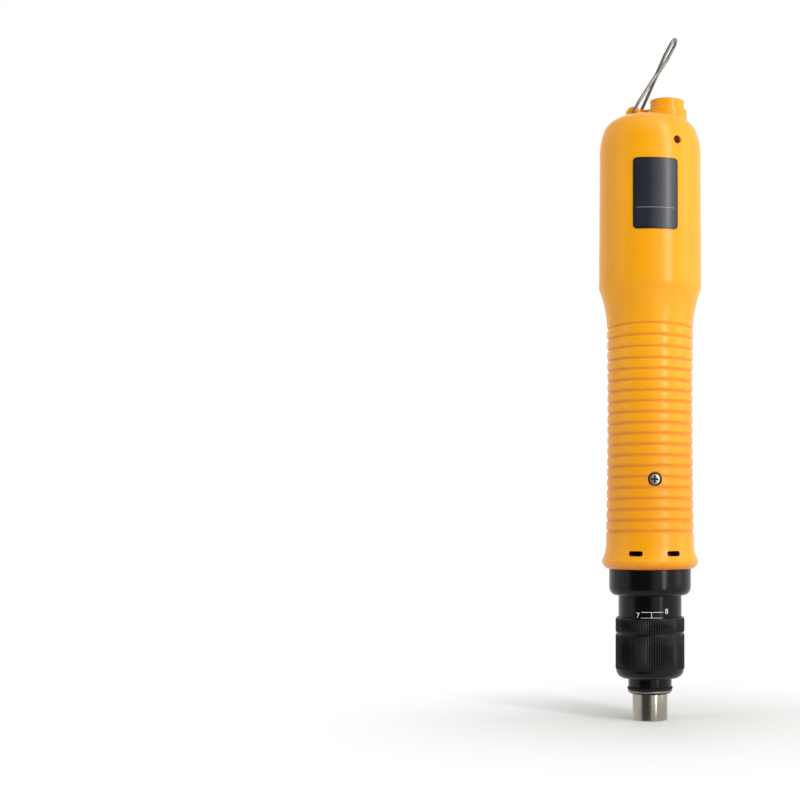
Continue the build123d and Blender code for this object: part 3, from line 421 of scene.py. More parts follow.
class Finish(Nodes):
    """Material with one Principled shader."""

    def __init__(self, name, **constants):
        self.material = bpy.data.materials.new(name)
        self.material.use_nodes = True
        super().__init__(self.material.node_tree)
        self.shader = self.tree.nodes["Principled BSDF"]
        self.set(**constants)

    def set(self, **sockets):
        """Sets sockets of the shader, named with _ for a space."""
        for key, value in sockets.items():
            self.join(self.shader.inputs[key.replace("_", " ")], value)

    def point(self):
        return self.node("TexCoord", {}, {}, "Object")

    def axes(self):
        """X, Y and Z of the piece's own place, in metres."""
        return [self.node("SeparateXYZ", {}, {0: self.point()}, i) for i in range(3)]

    def noise(self, scale, detail=3.0, roughness=0.5, stretch=(1, 1, 1), distortion=0.0):
        place = self.node("Mapping", {}, {"Vector": self.point(), "Scale": stretch})
        sockets = {"Vector": place, "Scale": scale, "Detail": detail}
        sockets.update({"Roughness": roughness, "Distortion": distortion})
        return self.node("TexNoise", {}, sockets)

    def bands(self, scale, distortion):
        """Even stripes, one above the other along Z."""
        settings = {"wave_type": "BANDS", "bands_direction": "Z", "wave_profile": "SIN"}
        sockets = {"Vector": self.point(), "Scale": scale, "Distortion": distortion}
        return self.node("TexWave", settings, sockets, 1)

    def mix(self, share, first, second):
        """Colour between two colours, each a link or a hexadecimal code."""
        a = paint(first) if isinstance(first, str) else first
        b = paint(second) if isinstance(second, str) else second
        return self.node("Mix", {"data_type": "RGBA"}, {0: share, 6: a, 7: b}, 2)

    def bump(self, height, strength, distance, normal=None):
        sockets = {"Height": height, "Strength": strength, "Distance": distance}
        if normal:
            sockets["Normal"] = normal
        return self.node("Bump", {}, sockets)


def amber_plastic():
    """Satin moulded plastic with painted shade in the grooves, in the vent slots and on the lower
    lip, polished on the ribs, with a seam at Y 0.
    """
    f = Finish("amber_plastic", IOR=1.49, Specular_IOR_Level=0.38)
    x, y, z = f.axes()
    radius = (x * x + y * y) ** 0.5
    from_waist = z - grip_waist[0] * MM
    waist_curve = 0.12
    skin = grip_waist[1] * MM + (from_waist * from_waist) * waist_curve
    depth = skin - radius
    on_grip = z.rise(0.0815, 0.0835) * (1 - z.rise(0.1815, 0.184))
    groove = depth.rise(-0.00005, 0.00045) * on_grip
    rub = (1 - depth.rise(-0.0001, 0.0001)) * on_grip
    tone = f.noise(14, 3, 0.55)
    fleck = f.noise(900, 2)
    colour = f.mix(tone.rise(0.35, 0.65), "#F8A60C", "#FCAD12")
    # Painted shade: the groove floors are darkened to a deeper orange.
    colour = f.mix(groove * 0.62, colour, "#E0820C")
    colour = f.mix(fleck.rise(0.62, 0.8) * 0.18, colour, "#FFB83A")
    grime = f.noise(40, 4, 0.6, (1, 1, 0.35)).rise(0.55, 0.75) * 0.10
    colour = f.mix(grime, colour, "#D9861C")
    # Painted shade: the walls inside the vent slots are coloured dark maroon.
    vent_wall_shade = z.rise(0.0735, 0.0745) * (1 - z.rise(0.0772, 0.078))
    # Painted shade: the housing darkens below the flange towards the mouth at the nose.
    colour = f.mix((1 - z.rise(0.0694, 0.0722)) * 0.55, colour, "#D4620F")
    seam = 1 - abs(y).rise(0.00007, 0.00016)
    colour = f.mix(seam * 0.75, colour, "#B9650C")
    f.set(Base_Color=f.mix(vent_wall_shade * (1 - radius.rise(0.0201, 0.0204)), colour, "#3A0F06"))
    f.set(Roughness=0.26 + 0.06 * f.noise(55, 3) + 0.12 * groove - 0.05 * rub)
    spark = f.noise(5200, 2, 0.6)
    swell = f.noise(22, 2)
    shape = f.bump(swell, 0.25, 0.0004, f.bump(seam, 0.5, -0.00012))
    f.set(Normal=f.bump(spark, 0.16, 0.00004, shape))
    return f.material


def black_coat(name, colour, light, roughness, specular):
    """Satin black with fine turning lines and a faint mottle."""
    f = Finish(name, IOR=1.45, Specular_IOR_Level=specular)
    lines = f.noise(260, 3, 0.6, (0.02, 0.02, 14))
    mottle = f.noise(90, 4, 0.6)
    f.set(Base_Color=f.mix(mottle.rise(0.4, 0.7), colour, light))
    f.set(Roughness=roughness + 0.07 * mottle + 0.05 * lines)
    f.set(Normal=f.bump(lines, 0.10, 0.00003, f.bump(f.noise(3800, 2), 0.10, 0.00002)))
    return f.material


def ring_coat():
    """Black anodised ring whose flutes are worn a little along their crests."""
    f = Finish("ring_anodised", IOR=1.45, Specular_IOR_Level=0.24)
    x, y = f.axes()[:2]
    radius = (x * x + y * y) ** 0.5
    crest = radius.rise(0.01568, 0.01582)
    worn = crest * f.noise(160, 4, 0.6, (1, 1, 0.25)).rise(0.42, 0.7)
    f.set(Base_Color=f.mix(worn * 0.3, "#080A0B", "#1E2224"))
    f.set(Roughness=0.30 - 0.06 * worn + 0.05 * f.noise(300, 3))
    f.set(Normal=f.bump(f.noise(2600, 3), 0.15, 0.00003))
    return f.material


def metal(name, colour, shade, roughness, grain=(1, 1, 1), scale=600, depth=0.10):
    """Bare metal with its grain drawn along one way."""
    f = Finish(name, Metallic=1.0)
    lines = f.noise(scale, 4, 0.65, grain)
    cloud = f.noise(70, 3)
    f.set(Base_Color=f.mix(cloud.rise(0.35, 0.7), colour, shade))
    f.set(Roughness=roughness + 0.10 * lines + 0.06 * cloud)
    f.set(Normal=f.bump(lines, depth, 0.00003))
    return f.material


def plastic(name, colour, light, roughness, texture=2400, specular=0.4):
    f = Finish(name, IOR=1.48, Specular_IOR_Level=specular)
    cloud = f.noise(60, 3)
    f.set(Base_Color=f.mix(cloud.rise(0.35, 0.7), colour, light))
    f.set(Roughness=roughness + 0.07 * cloud)
    f.set(Normal=f.bump(f.noise(texture, 2, 0.6), 0.16, 0.00004))
    return f.material


def plate_coat():
    """Plate of an even, satin blue grey with a darker rim and a thin dividing line."""
    coat = {"Coat_Weight": 0.25, "Coat_Roughness": 0.22}
    f = Finish("plate_print", IOR=1.5, Specular_IOR_Level=0.5, **coat)
    x, y, z = f.axes()
    side = abs(x).rise(0.00925, 0.0094)
    ends = abs(z - plate_middle * MM).rise(0.0152, 0.0154)
    rim = 1 - (1 - side) * (1 - ends)
    cloud = f.noise(120, 3)
    face = f.mix(cloud.rise(0.3, 0.7), "#191C27", "#1F232F")
    off = abs(z - divider_z * MM)
    divider = (1 - off.rise(0.00010, 0.00018)) * (1 - abs(x).rise(0.0086, 0.0087))
    face = f.mix(divider * 0.8, face, "#8C9098")
    f.set(Base_Color=f.mix(rim, face, "#110F0C"))
    f.set(Roughness=0.34 + 0.06 * cloud)
    f.set(Normal=f.bump(f.noise(3000, 2), 0.08, 0.00003))
    return f.material


def lens_glass():
    f = Finish("lens_red", IOR=1.5, Specular_IOR_Level=0.12, Coat_Weight=0.1, Coat_Roughness=0.06)
    core = f.noise(700, 2).rise(0.3, 0.8)
    f.set(Base_Color=f.mix(core, "#2C0402", "#620A06"))
    f.set(Roughness=0.16 + 0.06 * f.noise(900, 2))
    return f.material


def board_laminate():
    f = Finish("board_laminate", IOR=1.5, Specular_IOR_Level=0.5)
    weave = f.noise(1400, 3, 0.6, (1, 1, 0.2)) * f.noise(1400, 3, 0.6, (0.2, 1, 1))
    f.set(Base_Color=f.mix(weave.rise(0.15, 0.4), "#0F4A2A", "#1A6B3D"))
    f.set(Roughness=0.38 + 0.15 * weave)
    f.set(Normal=f.bump(weave, 0.2, 0.00004))
    return f.material


def copper_winding():
    """Enamelled wire laid side by side, with painted shade towards the gaps between the wires."""
    f = Finish("enamelled_copper", Metallic=0.85, Coat_Weight=0.5, Coat_Roughness=0.2)
    wires = f.bands(620.0, 0.6)
    # Painted shade: the copper darkens towards the gaps between the wires.
    f.set(Base_Color=f.mix(wires, "#6E2C10", "#C4662E"))
    f.set(Roughness=0.3 + 0.1 * f.noise(400, 2))
    f.set(Normal=f.bump(wires, 0.6, 0.0002))
    return f.material


def laminations():
    """Edges of thin steel sheets stacked along the motor."""
    f = Finish("stacked_sheets", Metallic=0.9)
    sheets = f.bands(630.0, 0.1)
    f.set(Base_Color=f.mix(sheets, "#3B3B3D", "#6C6D70"))
    f.set(Roughness=0.42 + 0.1 * f.noise(300, 3))
    f.set(Normal=f.bump(sheets, 0.35, 0.0001))
    return f.material


def screw_steel():
    """Dull zinc plate, with painted shade in the cross recess and round the head's edge."""
    f = Finish("screw_zinc", Metallic=1.0)
    x, y, z = f.axes()
    up = abs(z - screw_z * MM)
    across = abs(x)
    arm = (1 - across.rise(0.0004, 0.0005)) * (1 - up.rise(0.0016, 0.0018))
    other = (1 - up.rise(0.0004, 0.0005)) * (1 - across.rise(0.0016, 0.0018))
    cross = arm + other - arm * other
    edge = ((x * x + up * up) ** 0.5).rise(0.00225, 0.00255)
    # Painted shade in the cross recess and round the head's edge.
    recess_shade = cross + edge - cross * edge
    cloud = f.noise(420, 4, 0.6)
    colour = f.mix(cloud.rise(0.35, 0.7), "#B9B4AB", "#8F8A82")
    f.set(Base_Color=f.mix(recess_shade * 0.92, colour, "#24150F"))
    f.set(Roughness=0.30 + 0.15 * cloud + 0.2 * recess_shade)
    f.set(Normal=f.bump(f.noise(1500, 3), 0.25, 0.00003))
    return f.material


def white_print():
    f = Finish("scale_print", IOR=1.45, Specular_IOR_Level=0.3)
    worn = f.noise(900, 4, 0.6)
    f.set(Base_Color=f.mix(worn.rise(0.5, 0.75), "#E4E8E8", "#B9BEBE"))
    f.set(Roughness=0.5 + 0.1 * worn)
    return f.material


turning = (0.02, 0.02, 12)
along = (6, 6, 0.05)
finishes = {
    "amber_housing": amber_plastic(),
    "black_nose": black_coat("nose_black", "#050809", "#080B0D", 0.17, 0.24),
    "black_ring": ring_coat(),
    "plate_ink": plate_coat(),
    "turned_steel": metal("turned_steel", "#A39D91", "#8F897D", 0.17, turning, 300, 0.16),
    "hard_steel": metal("hard_steel", "#A9A8A6", "#8F8E8D", 0.26, turning, 300, 0.12),
    "spring_steel": metal("drawn_wire", "#8C8882", "#75716B", 0.36, along, 160, 0.02),
    "gear_steel": metal("gear_steel", "#9C9A96", "#83817D", 0.30, (1, 1, 6), 500, 0.14),
    "bronze": metal("sintered_bronze", "#A67B42", "#8A6434", 0.42, (1, 1, 1), 2200, 0.35),
    "contact_brass": metal("contact_brass", "#C9A24E", "#B18A3B", 0.24, along, 200, 0.08),
    "copper_wire": copper_winding(),
    "motor_aluminium": metal("cast_aluminium", "#B4B5B6", "#9FA0A1", 0.40, (1, 1, 1), 1500, 0.30),
    "motor_steel": metal("zinc_plated", "#9DA1A5", "#878B8F", 0.32, turning, 300, 0.10),
    "lamination": laminations(),
    "magnet": metal("sintered_magnet", "#4A4A4D", "#39393C", 0.46, (1, 1, 1), 1800, 0.30),
    "black_plastic": plastic("black_plastic", "#141516", "#1D1E20", 0.42),
    "board_green": board_laminate(),
    "lens_red": lens_glass(),
    "stop_rubber": plastic("stop_rubber", "#0C0C0C", "#151515", 0.62, 3200, 0.25),
}
print_white = white_print()
screw_zinc = screw_steel()
# Painted shade: the gear case gets a near-black finish so that it reads dark through the vent
# slots.
gear_case_shade = metal("gear_case_painted_shade", "#1C1614", "#2A211E", 0.5, (1, 1, 1), 800, 0.12)

for part in frame["record"]["subparts"]:
    held = frame["nodes"][part["node"]].data.materials
    held.clear()
    held.append(gear_case_shade if part["node"] == "gear_case" else finishes[part["material_slot"]])


# Housing

# Heights and depths of three points along a rib's top
rib_crown = ((-0.6, 0.01), (0, 0), (0.6, 0.01))


def groove_outline(z):
    """One groove of the grip with soft shoulders, and the crowned rib above it."""
    shoulder = [(-1.28, 0.04), (-1.0, 0.09), (-0.76, 0.18)]
    shoulder += [(-0.54, 0.33), (-0.38, 0.47), (-0.22, 0.55)]
    rib = z + groove_pitch / 2
    points = [(z + dz, depth) for dz, depth in shoulder]
    points += [(z - dz, depth) for dz, depth in reversed(shoulder)]
    points += [(rib + dz, depth) for dz, depth in rib_crown]
    return [(grip_radius(height) - depth, height) for height, depth in points]


def skin_outline():
    """Outside of the housing from the mouth at the nose to the top of the crown."""
    mouth, vent_wall_shade, shoulder = (19.4, 68.5), (22.24, 72.3), (23.5, 197.0)
    dome_foot, dome_bend = (23.7, 259.0), (21.45, 272.7)
    outline = [(18.2, 68.5), (19.0, 68.5), mouth]
    outline += arc(mouth, (21.49, 70.15), vent_wall_shade, 10)
    outline += arc(vent_wall_shade, (21.04, 75.0), grip_low[::-1], 14)
    outline += [(grip_radius(z), z) for z in (80.2, 82.0, 83.6)]
    for i in range(groove_count):
        outline += groove_outline(groove_first + i * groove_pitch)
    # The last groove has no rib above it
    outline = outline[:-len(rib_crown)]
    outline += arc(grip_top[::-1], (21.25, 189.4), shoulder, 22)[1:]
    outline += arc(shoulder, (23.82, 198.4), (body_radius, 200.4), 6)
    outline += [(23.88, 212.0), (23.84, 222.3), (23.79, 235.0), (23.74, 247.0), dome_foot]
    outline += arc(dome_foot, (23.3, 266.4), dome_bend, 14)
    outline += arc(dome_bend, (18.2, 276.4), (11.5, 278.3), 14)
    return outline + [(6.0, 278.45), (0.0, crown_z)]


def hollow_outline():
    """Inside of the housing from the crown down to the mouth."""
    outline = [(0.0, crown_z - shell_wall), (11.5, 276.1), (16.66, 274.86), (19.91, 271.16)]
    outline += [(21.1, 266.4), (21.5, 259.0), (21.72, 200.4), (21.3, 197.0), (19.05, 189.4)]
    outline += [(17.9, 181.0), (17.57, 148.0), (18.12, 78.4), (17.1, 78.4), (17.1, 74.55)]
    return outline + [(18.45, 74.55), (18.45, 70.45), (17.4, 70.45), (17.4, 68.5)]


def hanger_ear():
    half, foot = ear_width / 2, crown_z - 3
    top = ellipse((0, ear_top - half), half, half, 180, 0, 20)
    outline = [(-half, foot)] + top + [(half, foot)]
    ear = prism("ear", outline, -ear_thickness / 2, ear_thickness / 2)
    limit = math.radians(60)
    shaped(ear, "BEVEL", width=0.9 * MM, segments=4, limit_method="ANGLE", angle_limit=limit)
    return placed(ear, (ear_x, 0, 0), (0, 0, -hanger_turn))


def socket_tier():
    foot = crown_z - 4
    outline = [(0, foot), (tier_radius, foot), (tier_radius, tier_top, 0.7), (0, tier_top)]
    return turned("tier", rounded(outline), 72, (socket_x, 0, 0))


def stadium(length, width, steps=8):
    """Outline of a slot with round ends."""
    half, radius = (length - width) / 2, width / 2
    right = ellipse((half, 0), radius, radius, -90, 90, steps)
    return right + ellipse((-half, 0), radius, radius, 90, 270, steps)


def vent(angle):
    """Cutter of one slot, wider outside than inside."""
    outer, inner = -23.6, -15
    slot = prism("vent", stadium(6.2, 1.9), outer, inner)
    pick(slot, places(slot)[:, 1] < (outer + inner) / 2)
    bpy.ops.transform.resize(value=(1.12, 1, 1.35), center_override=(0, 0, 0))
    close_piece()
    return placed(slot, (0, 0, vent_z), (0, 0, angle))


def counterbore(side):
    """Cutter for a grip screw's hole, flared where it meets the skin."""
    skin = grip_radius(screw_z)
    seat = skin - screw_recess - screw_head_height
    outline = [(0, -skin - 2), (4.3, -skin - 2), (3.75, -skin), (3.45, -skin + 0.12)]
    outline += [(3.25, -skin + 0.4), (3.2, -skin + 0.8), (3.2, -seat), (1.6, -seat)]
    outline += [(1.6, -16.5), (0, -16.5)]
    cutter = turned("counterbore", outline, 48, (0, 0, screw_z), "Y")
    return placed(cutter, (0, 0, 0), (0, 0, side))


def curved_plate(name, width, height, corner, inner, outer):
    """Rounded rectangle bent round the upper body, between two radii."""
    plate = prism(name, rounded_box(width, height, corner), 0, outer - inner)
    sliced(plate, width, 5)
    shaped(plate, "SIMPLE_DEFORM", deform_method="BEND", deform_axis="Z", angle=width / outer)
    return placed(plate, (0, -outer, plate_middle))


def lens_hole():
    outline = [(0, -30), (2.35, -30), (2.2, -23.35), (1.95, -23.25), (1.8, -23.0)]
    outline += [(1.8, -15), (0, -15)]
    hole = turned("lens_hole", outline, 32, (0, 0, lens_z), "Y")
    return placed(hole, (0, 0, 0), (0, 0, lens_angle))


def switch_window():
    across, up = 8.05, 11.55
    return block("window", (-across, across), (17.0, 30), (switch_z - up, switch_z + up))


def hanger_hole():
    radius, reach = 0.85, 8
    outline = [(0, -reach), (radius, -reach), (radius, reach), (0, reach)]
    hole = turned("hanger_hole", outline, 24, (0, 0, pivot_z), "Y")
    return placed(hole, (ear_x, 0, 0), (0, 0, -hanger_turn))


def socket_hole():
    low, high = 268, 286
    outline = [(0, low), (tier_bore, low), (tier_bore, high), (0, high)]
    return turned("socket_hole", outline, 72, (socket_x, 0, 0))


def bow_grooves(shell):
    """Bows the top grooves up towards the middle of the front and the back."""
    at = places(shell)
    slight, medium, strong = groove_tilts
    last = groove_first + (groove_count - 1) * groove_pitch
    bands = [(last - 2 * groove_pitch, 1.6, slight), (last - groove_pitch, 1.6, medium)]
    bands += [(last, 1.6, strong), (last + 2.45, 0.85, medium), (last + 4.2, 0.85, slight)]
    for z, reach, tilt in bands:
        near = abs(at[:, 2] - z) < reach
        for side in (-1, 1):
            pick(shell, near & (at[:, 1] * side > 0.001))
            angle, centre = -side * math.radians(tilt), (0, 0, z * MM)
            bpy.ops.transform.rotate(value=angle, orient_axis="X", center_override=centre)
            close_piece()
    return shell


def housing():
    """Both halves as one, before they are parted."""
    shell = turned("shell", skin_outline() + hollow_outline(), 144)
    bow_grooves(shell)
    merged(shell, [hanger_ear(), socket_tier()], "UNION")
    cutters = [vent(back + side * vent_angle) for back in (0, 180) for side in (-1, 1)]
    cutters += [counterbore(0), counterbore(180), lens_hole(), switch_window()]
    cutters += [hanger_hole(), socket_hole()]
    width, height = plate_width + plate_play, plate_height + plate_play
    cutters.append(curved_plate("recess", width, height, plate_corner + 0.1, 23.52, 25.0))
    return merged(shell, cutters)


def parted(shell, name, front):
    """One half of the housing."""
    half = copied(shell, name)
    side = -1 if front else 1
    place = (0, side * parting_gap * MM, 0)
    open_piece(half)
    bpy.ops.mesh.select_all(action="SELECT")
    bpy.ops.mesh.bisect(
        plane_co=place, plane_no=(0, 1, 0), use_fill=True, clear_outer=front, clear_inner=not front
    )
    close_piece()
    return half


whole = housing()
amber = finishes["amber_housing"]
for name, front in (("front_shell", True), ("rear_shell", False)):
    half = parted(whole, name + "_moulding", front)
    finished(half, "housing", "amber_housing", amber, name)
bpy.data.objects.remove(whole)


# Nose

def nose_outline():
    """Outside of the nose from its lip to the collar's top, and back down inside."""
    outline = [(8.5, 11.9), (8.9, 11.9, 0.15), (9.63, 12.4), (9.73, 12.65), (9.73, 13.0)]
    outline += [(9.2, 13.0), (9.2, 13.3), (9.73, 13.3), (9.93, 13.5, 0.1), (9.93, 13.75)]
    outline += [(9.2, 13.75), (9.2, 15.05), (9.93, 15.05, 0.1), (9.93, 23.4), (8.1, 23.4)]
    outline += [(8.1, 25.8), (13.8, 25.8, 0.2), (13.8, 42.0), (neck_radius, 42.0, 0.15)]
    outline += [(neck_radius, 56.6, 0.25)] + ellipse((16.2, 60.6), 2.6, 4.0, -90, 0, 12)
    outline += [(18.8, 68.4, 0.25), (17.3, 68.4), (17.3, 70.5), (18.4, 70.5), (18.4, 74.5)]
    outline += [(17.0, 74.5), (17.0, 76.0), (13.0, 76.0), (13.0, 62.0), (12.4, 62.0)]
    outline += [(12.4, 28.0), (8.1, 28.0), (8.1, 33.8), (6.1, 33.8), (6.1, 21.8), (8.5, 20.8)]
    return rounded(outline)


nose = turned("nose_turning", nose_outline(), 128)
finished(nose, "housing", "black_nose", finishes["black_nose"], "nose_housing")


def torque_ring():
    """Ring with fine flutes in two bands, a bare groove between them and a rounded foot."""
    crest, bare = ring_radius, ring_bare
    outline = [(10.23, 18.9), (10.5, 18.9), (11.6, 18.9)]
    outline += ellipse((11.6, 22.9), 3.9, 4.0, -90, 0, 12)[1:]
    outline += [(15.5, 23.0), (crest, 23.35), (crest, 28.0), (crest, 33.0), (crest, 38.55)]
    outline += [(15.5, 38.8), (bare, 38.95), (bare, 39.65), (15.5, 39.8), (crest, 40.05)]
    outline += [(crest, 43.0), (crest, 45.75), (15.5, 46.05), (bare, 46.2)]
    outline += rounded([(bare, 46.3), (bare, 46.7, 0.3), (14.62, 46.7, 0.15), (14.62, 39.25)])
    outline += [(13.92, 39.25), (13.92, 23.0), (10.23, 23.0)]
    ring = turned("torque_ring_turning", outline, 360)
    at = places(ring)
    radius = np.hypot(at[:, 0], at[:, 1])
    degree = np.round(np.degrees(np.arctan2(at[:, 1], at[:, 0]))).astype(int)
    # Each flute takes four columns of points, one to a degree: crest, flank, bottom and flank
    for column, scale in ((2, 0.9815), (1, 0.991), (3, 0.991)):
        pick(ring, (radius > crest - 0.1) & (degree % 4 == column))
        bpy.ops.transform.resize(value=(scale, scale, 1), center_override=(0, 0, 0))
        close_piece()
    return ring


finished(torque_ring(), "ring", "black_ring", finishes["black_ring"], "torque_ring")

sleeve_outline = [(6.5, 0.0, 0.15), (8.0, 0.0, 0.4), (8.0, 17.5, 0.25), (7.0, 17.5)]
sleeve_outline += [(7.0, 8.6), (5.6, 8.6), (5.6, 2.6), (6.5, 1.7)]
sleeve = turned("chuck_sleeve_turning", rounded(sleeve_outline), 128)
finished(sleeve, "sleeve", "turned_steel", finishes["turned_steel"], "chuck_sleeve")


# Rating plate, lens and screws

plate_size = (plate_width, plate_height, plate_corner)
plate = curved_plate("rating_plate_face", *plate_size, plate_inner, plate_outer)
finished(plate, "housing", "plate_ink", finishes["plate_ink"], "rating_plate")

lens_radius, lens_rise = 1.72, 0.55
dome = ellipse((0, -lens_face + lens_rise), lens_radius, lens_rise, -90, 0, 8)
lens = turned("led_dome", dome + [(lens_radius, -18.9), (0, -18.9)], 40, (0, 0, lens_z), "Y")
placed(lens, (0, 0, 0), (0, 0, lens_angle))
finished(lens, "housing", "lens_red", finishes["lens_red"], "led_lens")


def screw(name, seat, tip):
    """Round headed screw along -Y with a cross recess."""
    crown = ellipse((0, -seat - 0.85), 2.75, 0.55, -90, 0, 10)
    outline = crown + [(2.8, -seat), (1.5, -seat), (1.5, tip), (0, tip)]
    body = turned(name, outline, 48, (0, 0, screw_z), "Y")
    top = -seat - 1.6
    thin, reach = 0.42, 1.65
    arms = [
        block("arm", (-across, across), (top, top + 1.2), (screw_z - up, screw_z + up))
        for across, up in ((thin, reach), (reach, thin))
    ]
    merged(arms[0], [arms[1]], "UNION")
    return merged(body, [arms[0]])


grip_seat = grip_radius(screw_z) - screw_recess - screw_head_height
front_screw = screw("front_screw", grip_seat, -11.0)
rear_screw = copied(front_screw, "rear_screw", (0, 0, 0), (0, 0, 180))
upper_screw = placed(screw("upper_screw", 21.32, 12.0), (0, 0, upper_screw_z - screw_z))
screws = joined("shell_screw_heads", [front_screw, rear_screw, upper_screw])
finished(screws, "housing", "hard_steel", screw_zinc, "shell_screws")


# Torque scale on the neck

def wrapped(piece, radius, angle, z):
    """Bends a flat piece round the neck and puts it at an angle from the front."""
    width = max(places(piece)[:, 0]) - min(places(piece)[:, 0])
    shaped(piece, "SIMPLE_DEFORM", deform_method="BEND", deform_axis="Z", angle=width / radius)
    return placed(placed(piece, (0, -radius, z)), (0, 0, 0), (0, 0, angle))


def mark(width, height, angle, z):
    """Printed line on the neck."""
    line = prism("mark", rounded_box(width, height, min(width, height) * 0.3, 2), 0, 0.06)
    if width > 1:
        sliced(line, width, 3)
    return wrapped(line, neck_radius + print_height, angle, z)


def digit(text, angle, z):
    """Printed number on the neck."""
    bpy.ops.object.select_all(action="DESELECT")
    bpy.ops.object.text_add(location=(0, 0, 0))
    piece = bpy.context.view_layer.objects.active
    piece.data.body = text
    piece.data.size = digit_size * MM
    piece.data.extrude = 0.03 * MM
    piece.data.align_x = "CENTER"
    piece.data.align_y = "CENTER"
    select_only(piece)
    bpy.ops.object.convert(target="MESH")
    placed(piece, (0, 0.03, 0), (90, 0, 0))
    return wrapped(piece, neck_radius + print_height, angle, z)


bar, stroke = 10.2, 0.24
marks = [mark(bar, stroke, angle=-2.0, z=49.4), mark(stroke, 7.0, angle=-3.7, z=45.9)]
marks += [mark(bar, stroke, angle=-3.0, z=46.9)]
marks += [digit("8", angle=24.6, z=49.6), digit("7", angle=-28.5, z=47.9)]
scale = joined("torque_scale", marks)
finished(scale, "housing", "black_nose", print_white)


# Hanger

# One side of the wire, from the ear to the eye: distance across the bail, and height above the
# ear's hole. Then the radius of each bend on that side.
bail_side = [(2.4, 0), (5.4, 0), (5.4, 6.5), (0.95, 22.5), (3.7, 31.0), (3.7, 40.8)]
bail_bends = [1.5, 9.0, 5.0, 9.0, 3.65]


def bent(points, bends, steps=10):
    """Places along a line whose inner corners are rounded by the bends' radii."""
    found = [points[0]]
    for before, here, after, bend in zip(points, points[1:], points[2:], bends):
        found += corner_arc(before, here, after, bend, steps)
    return found + [points[-1]]


def hanger_wire():
    """Bail bent from one wire: stubs in the ear, legs that close to a waist, and an eye."""
    lean, turn = math.tan(math.radians(hanger_lean)), math.radians(hanger_turn)
    up = Vector((lean, -lean * math.tan(turn), 1)).normalized()
    across = Vector((math.sin(turn), math.cos(turn), 0))
    pivot = Vector((ear_x, 0, pivot_z))
    points = [pivot + across * a + up * t for a, t in bail_side]
    points += [pivot - across * a + up * t for a, t in reversed(bail_side)]
    path = bent(points, bail_bends + bail_bends[::-1])
    wire = start_line("hanger_wire", path[0])
    draw_line(path)
    close_piece()
    select_only(wire)
    bpy.ops.object.convert(target="CURVE")
    wire.data.bevel_depth = wire_radius * MM
    wire.data.bevel_resolution = 5
    wire.data.use_fill_caps = True
    bpy.ops.object.convert(target="MESH")
    return wire


finished(hanger_wire(), "hanger", "spring_steel", finishes["spring_steel"], "hanger_bail")


# Stage, camera and lamps

def around(azimuth, distance, height):
    """Place at an azimuth from the front, to the right of the viewer when it is above 0."""
    turn = math.radians(azimuth)
    return Vector((math.sin(turn) * distance, -math.cos(turn) * distance, height))


def studio():
    """Floor that rises behind the tool, and shines white away from it."""
    bpy.ops.object.select_all(action="DESELECT")
    bpy.ops.mesh.primitive_plane_add(size=8, location=(0, 0, 0))
    floor = bpy.context.view_layer.objects.active
    floor.name = "floor"
    pick(floor, places(floor)[:, 1] > 0)
    bpy.ops.mesh.extrude_region_move(TRANSFORM_OT_translate={"value": (0, 0, 4)})
    close_piece()
    shaped(floor, "BEVEL", width=1.2, segments=12, limit_method="ANGLE")
    f = Finish("pale_floor", Roughness=0.9, Specular_IOR_Level=0.1)
    x, y = f.axes()[:2]
    away = ((x * x + y * y) ** 0.5).rise(0.02, 0.16)
    f.set(Base_Color=f.mix(f.noise(9, 3), "#F7F7F5", "#FBFBFA"))
    glow = f.node("Emission", {}, {"Color": WHITE, "Strength": 1.0})
    share = f.seen_by("Is Camera Ray", "Is Glossy Ray") * away
    both = f.node("MixShader", {}, {0: share, 1: Link(f, f.shader.outputs[0]), 2: glow})
    f.join(f.tree.nodes["Material Output"].inputs["Surface"], both)
    floor.data.materials.append(f.material)
    floor.visible_glossy = False


def card(name, size, azimuth, height, distance, shade):
    """Grey card that the camera doesn't see, for the dark bands in the metal."""
    facing = (math.pi / 2, 0, math.radians(azimuth))
    bpy.ops.object.select_all(action="DESELECT")
    place = around(azimuth, distance, height)
    bpy.ops.mesh.primitive_plane_add(size=1, location=place, rotation=facing)
    board = bpy.context.view_layer.objects.active
    board.name = name
    board.scale = (size[0], size[1], 1)
    board.visible_camera = False
    f = Finish(name + "_felt", Roughness=0.9, Specular_IOR_Level=0.1)
    f.set(Base_Color=paint(shade))
    board.data.materials.append(f.material)


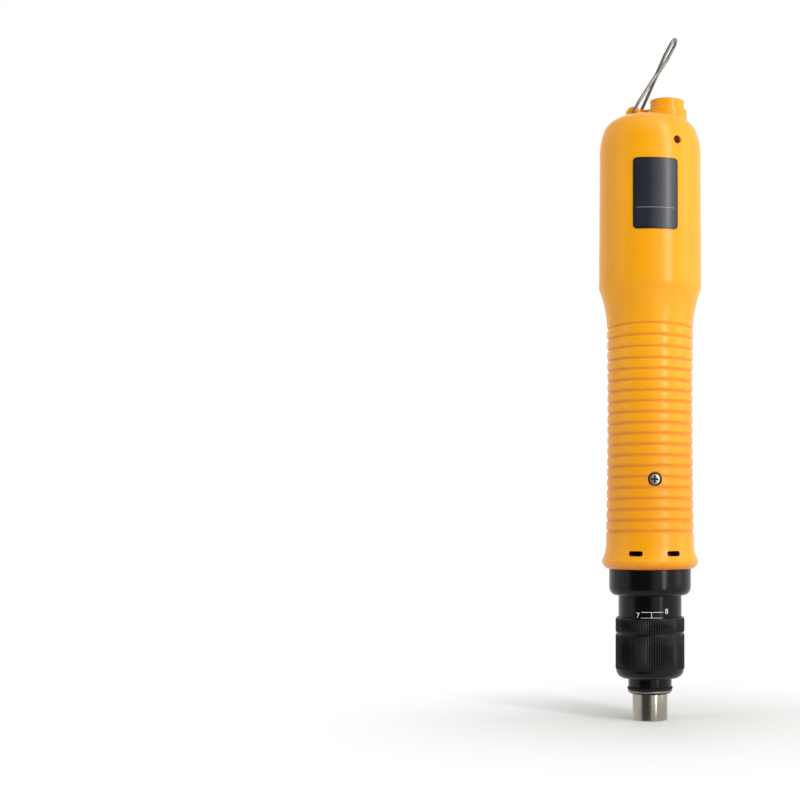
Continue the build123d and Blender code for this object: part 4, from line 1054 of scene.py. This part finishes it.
def lamp(name, size, azimuth, height, distance, watts, colour=(1, 1, 1), mirrored=True):
    """Soft lamp at an azimuth, turned towards the middle of the tool."""
    place = around(azimuth, distance, height)
    bpy.ops.object.light_add(type="AREA", location=place)
    light = bpy.context.view_layer.objects.active
    light.name = name
    light.data.shape = "RECTANGLE"
    light.data.size, light.data.size_y = size
    light.data.energy = watts
    light.data.color = colour
    light.visible_glossy = mirrored
    middle = Vector((0, 0, 0.15))
    light.rotation_euler = (middle - place).to_track_quat("-Z", "Y").to_euler()


def camera():
    """Camera a little left of the front, shifted so that the tool stands right of the middle."""
    azimuth, tilt = -6.5, 94.137
    bpy.ops.object.camera_add(location=around(azimuth, 0.6969, 0.0958))
    eye = bpy.context.view_layer.objects.active
    eye.rotation_euler = (math.radians(tilt), 0, math.radians(azimuth))
    eye.data.lens = 67.8
    eye.data.sensor_width = 36
    eye.data.shift_x = -0.3125
    eye.data.clip_start = 0.01
    eye.data.clip_end = 20
    bpy.context.scene.camera = eye


def sky():
    """White to the eye and in reflections, and a soft fill for the rest."""
    world = bpy.data.worlds.new("studio")
    world.use_nodes = True
    bpy.context.scene.world = world
    air = Nodes(world.node_tree)
    clear = air.seen_by("Is Camera Ray", "Is Glossy Ray", "Is Transmission Ray")
    strength = air.node("MapRange", {}, {"Value": clear, "To Min": 0.55, "To Max": 1.0})
    back = air.tree.nodes["Background"]
    air.join(back.inputs["Color"], WHITE)
    air.join(back.inputs["Strength"], strength)


studio()
camera()
sky()
card("front_card", (2.4, 3.2), azimuth=-32, height=0.5, distance=1.9, shade="#6A6A6A")
warm = {"colour": (1, 0.95, 0.88), "mirrored": False}
lamp("key", (0.1, 1.7), azimuth=34, height=0.52, distance=1.1, watts=9.2)
lamp("side", (0.5, 1.2), azimuth=80, height=0.5, distance=1.3, watts=2.8)
lamp("fill", (0.9, 0.9), azimuth=-75, height=0.5, distance=1.5, watts=3.6, **warm)
lamp("top", (0.8, 0.8), azimuth=10, height=1.3, distance=0.5, watts=2.0)
lamp("back", (0.8, 0.8), azimuth=180, height=0.8, distance=1.5, watts=2.5)
bpy.context.scene.view_settings.view_transform = "Standard"
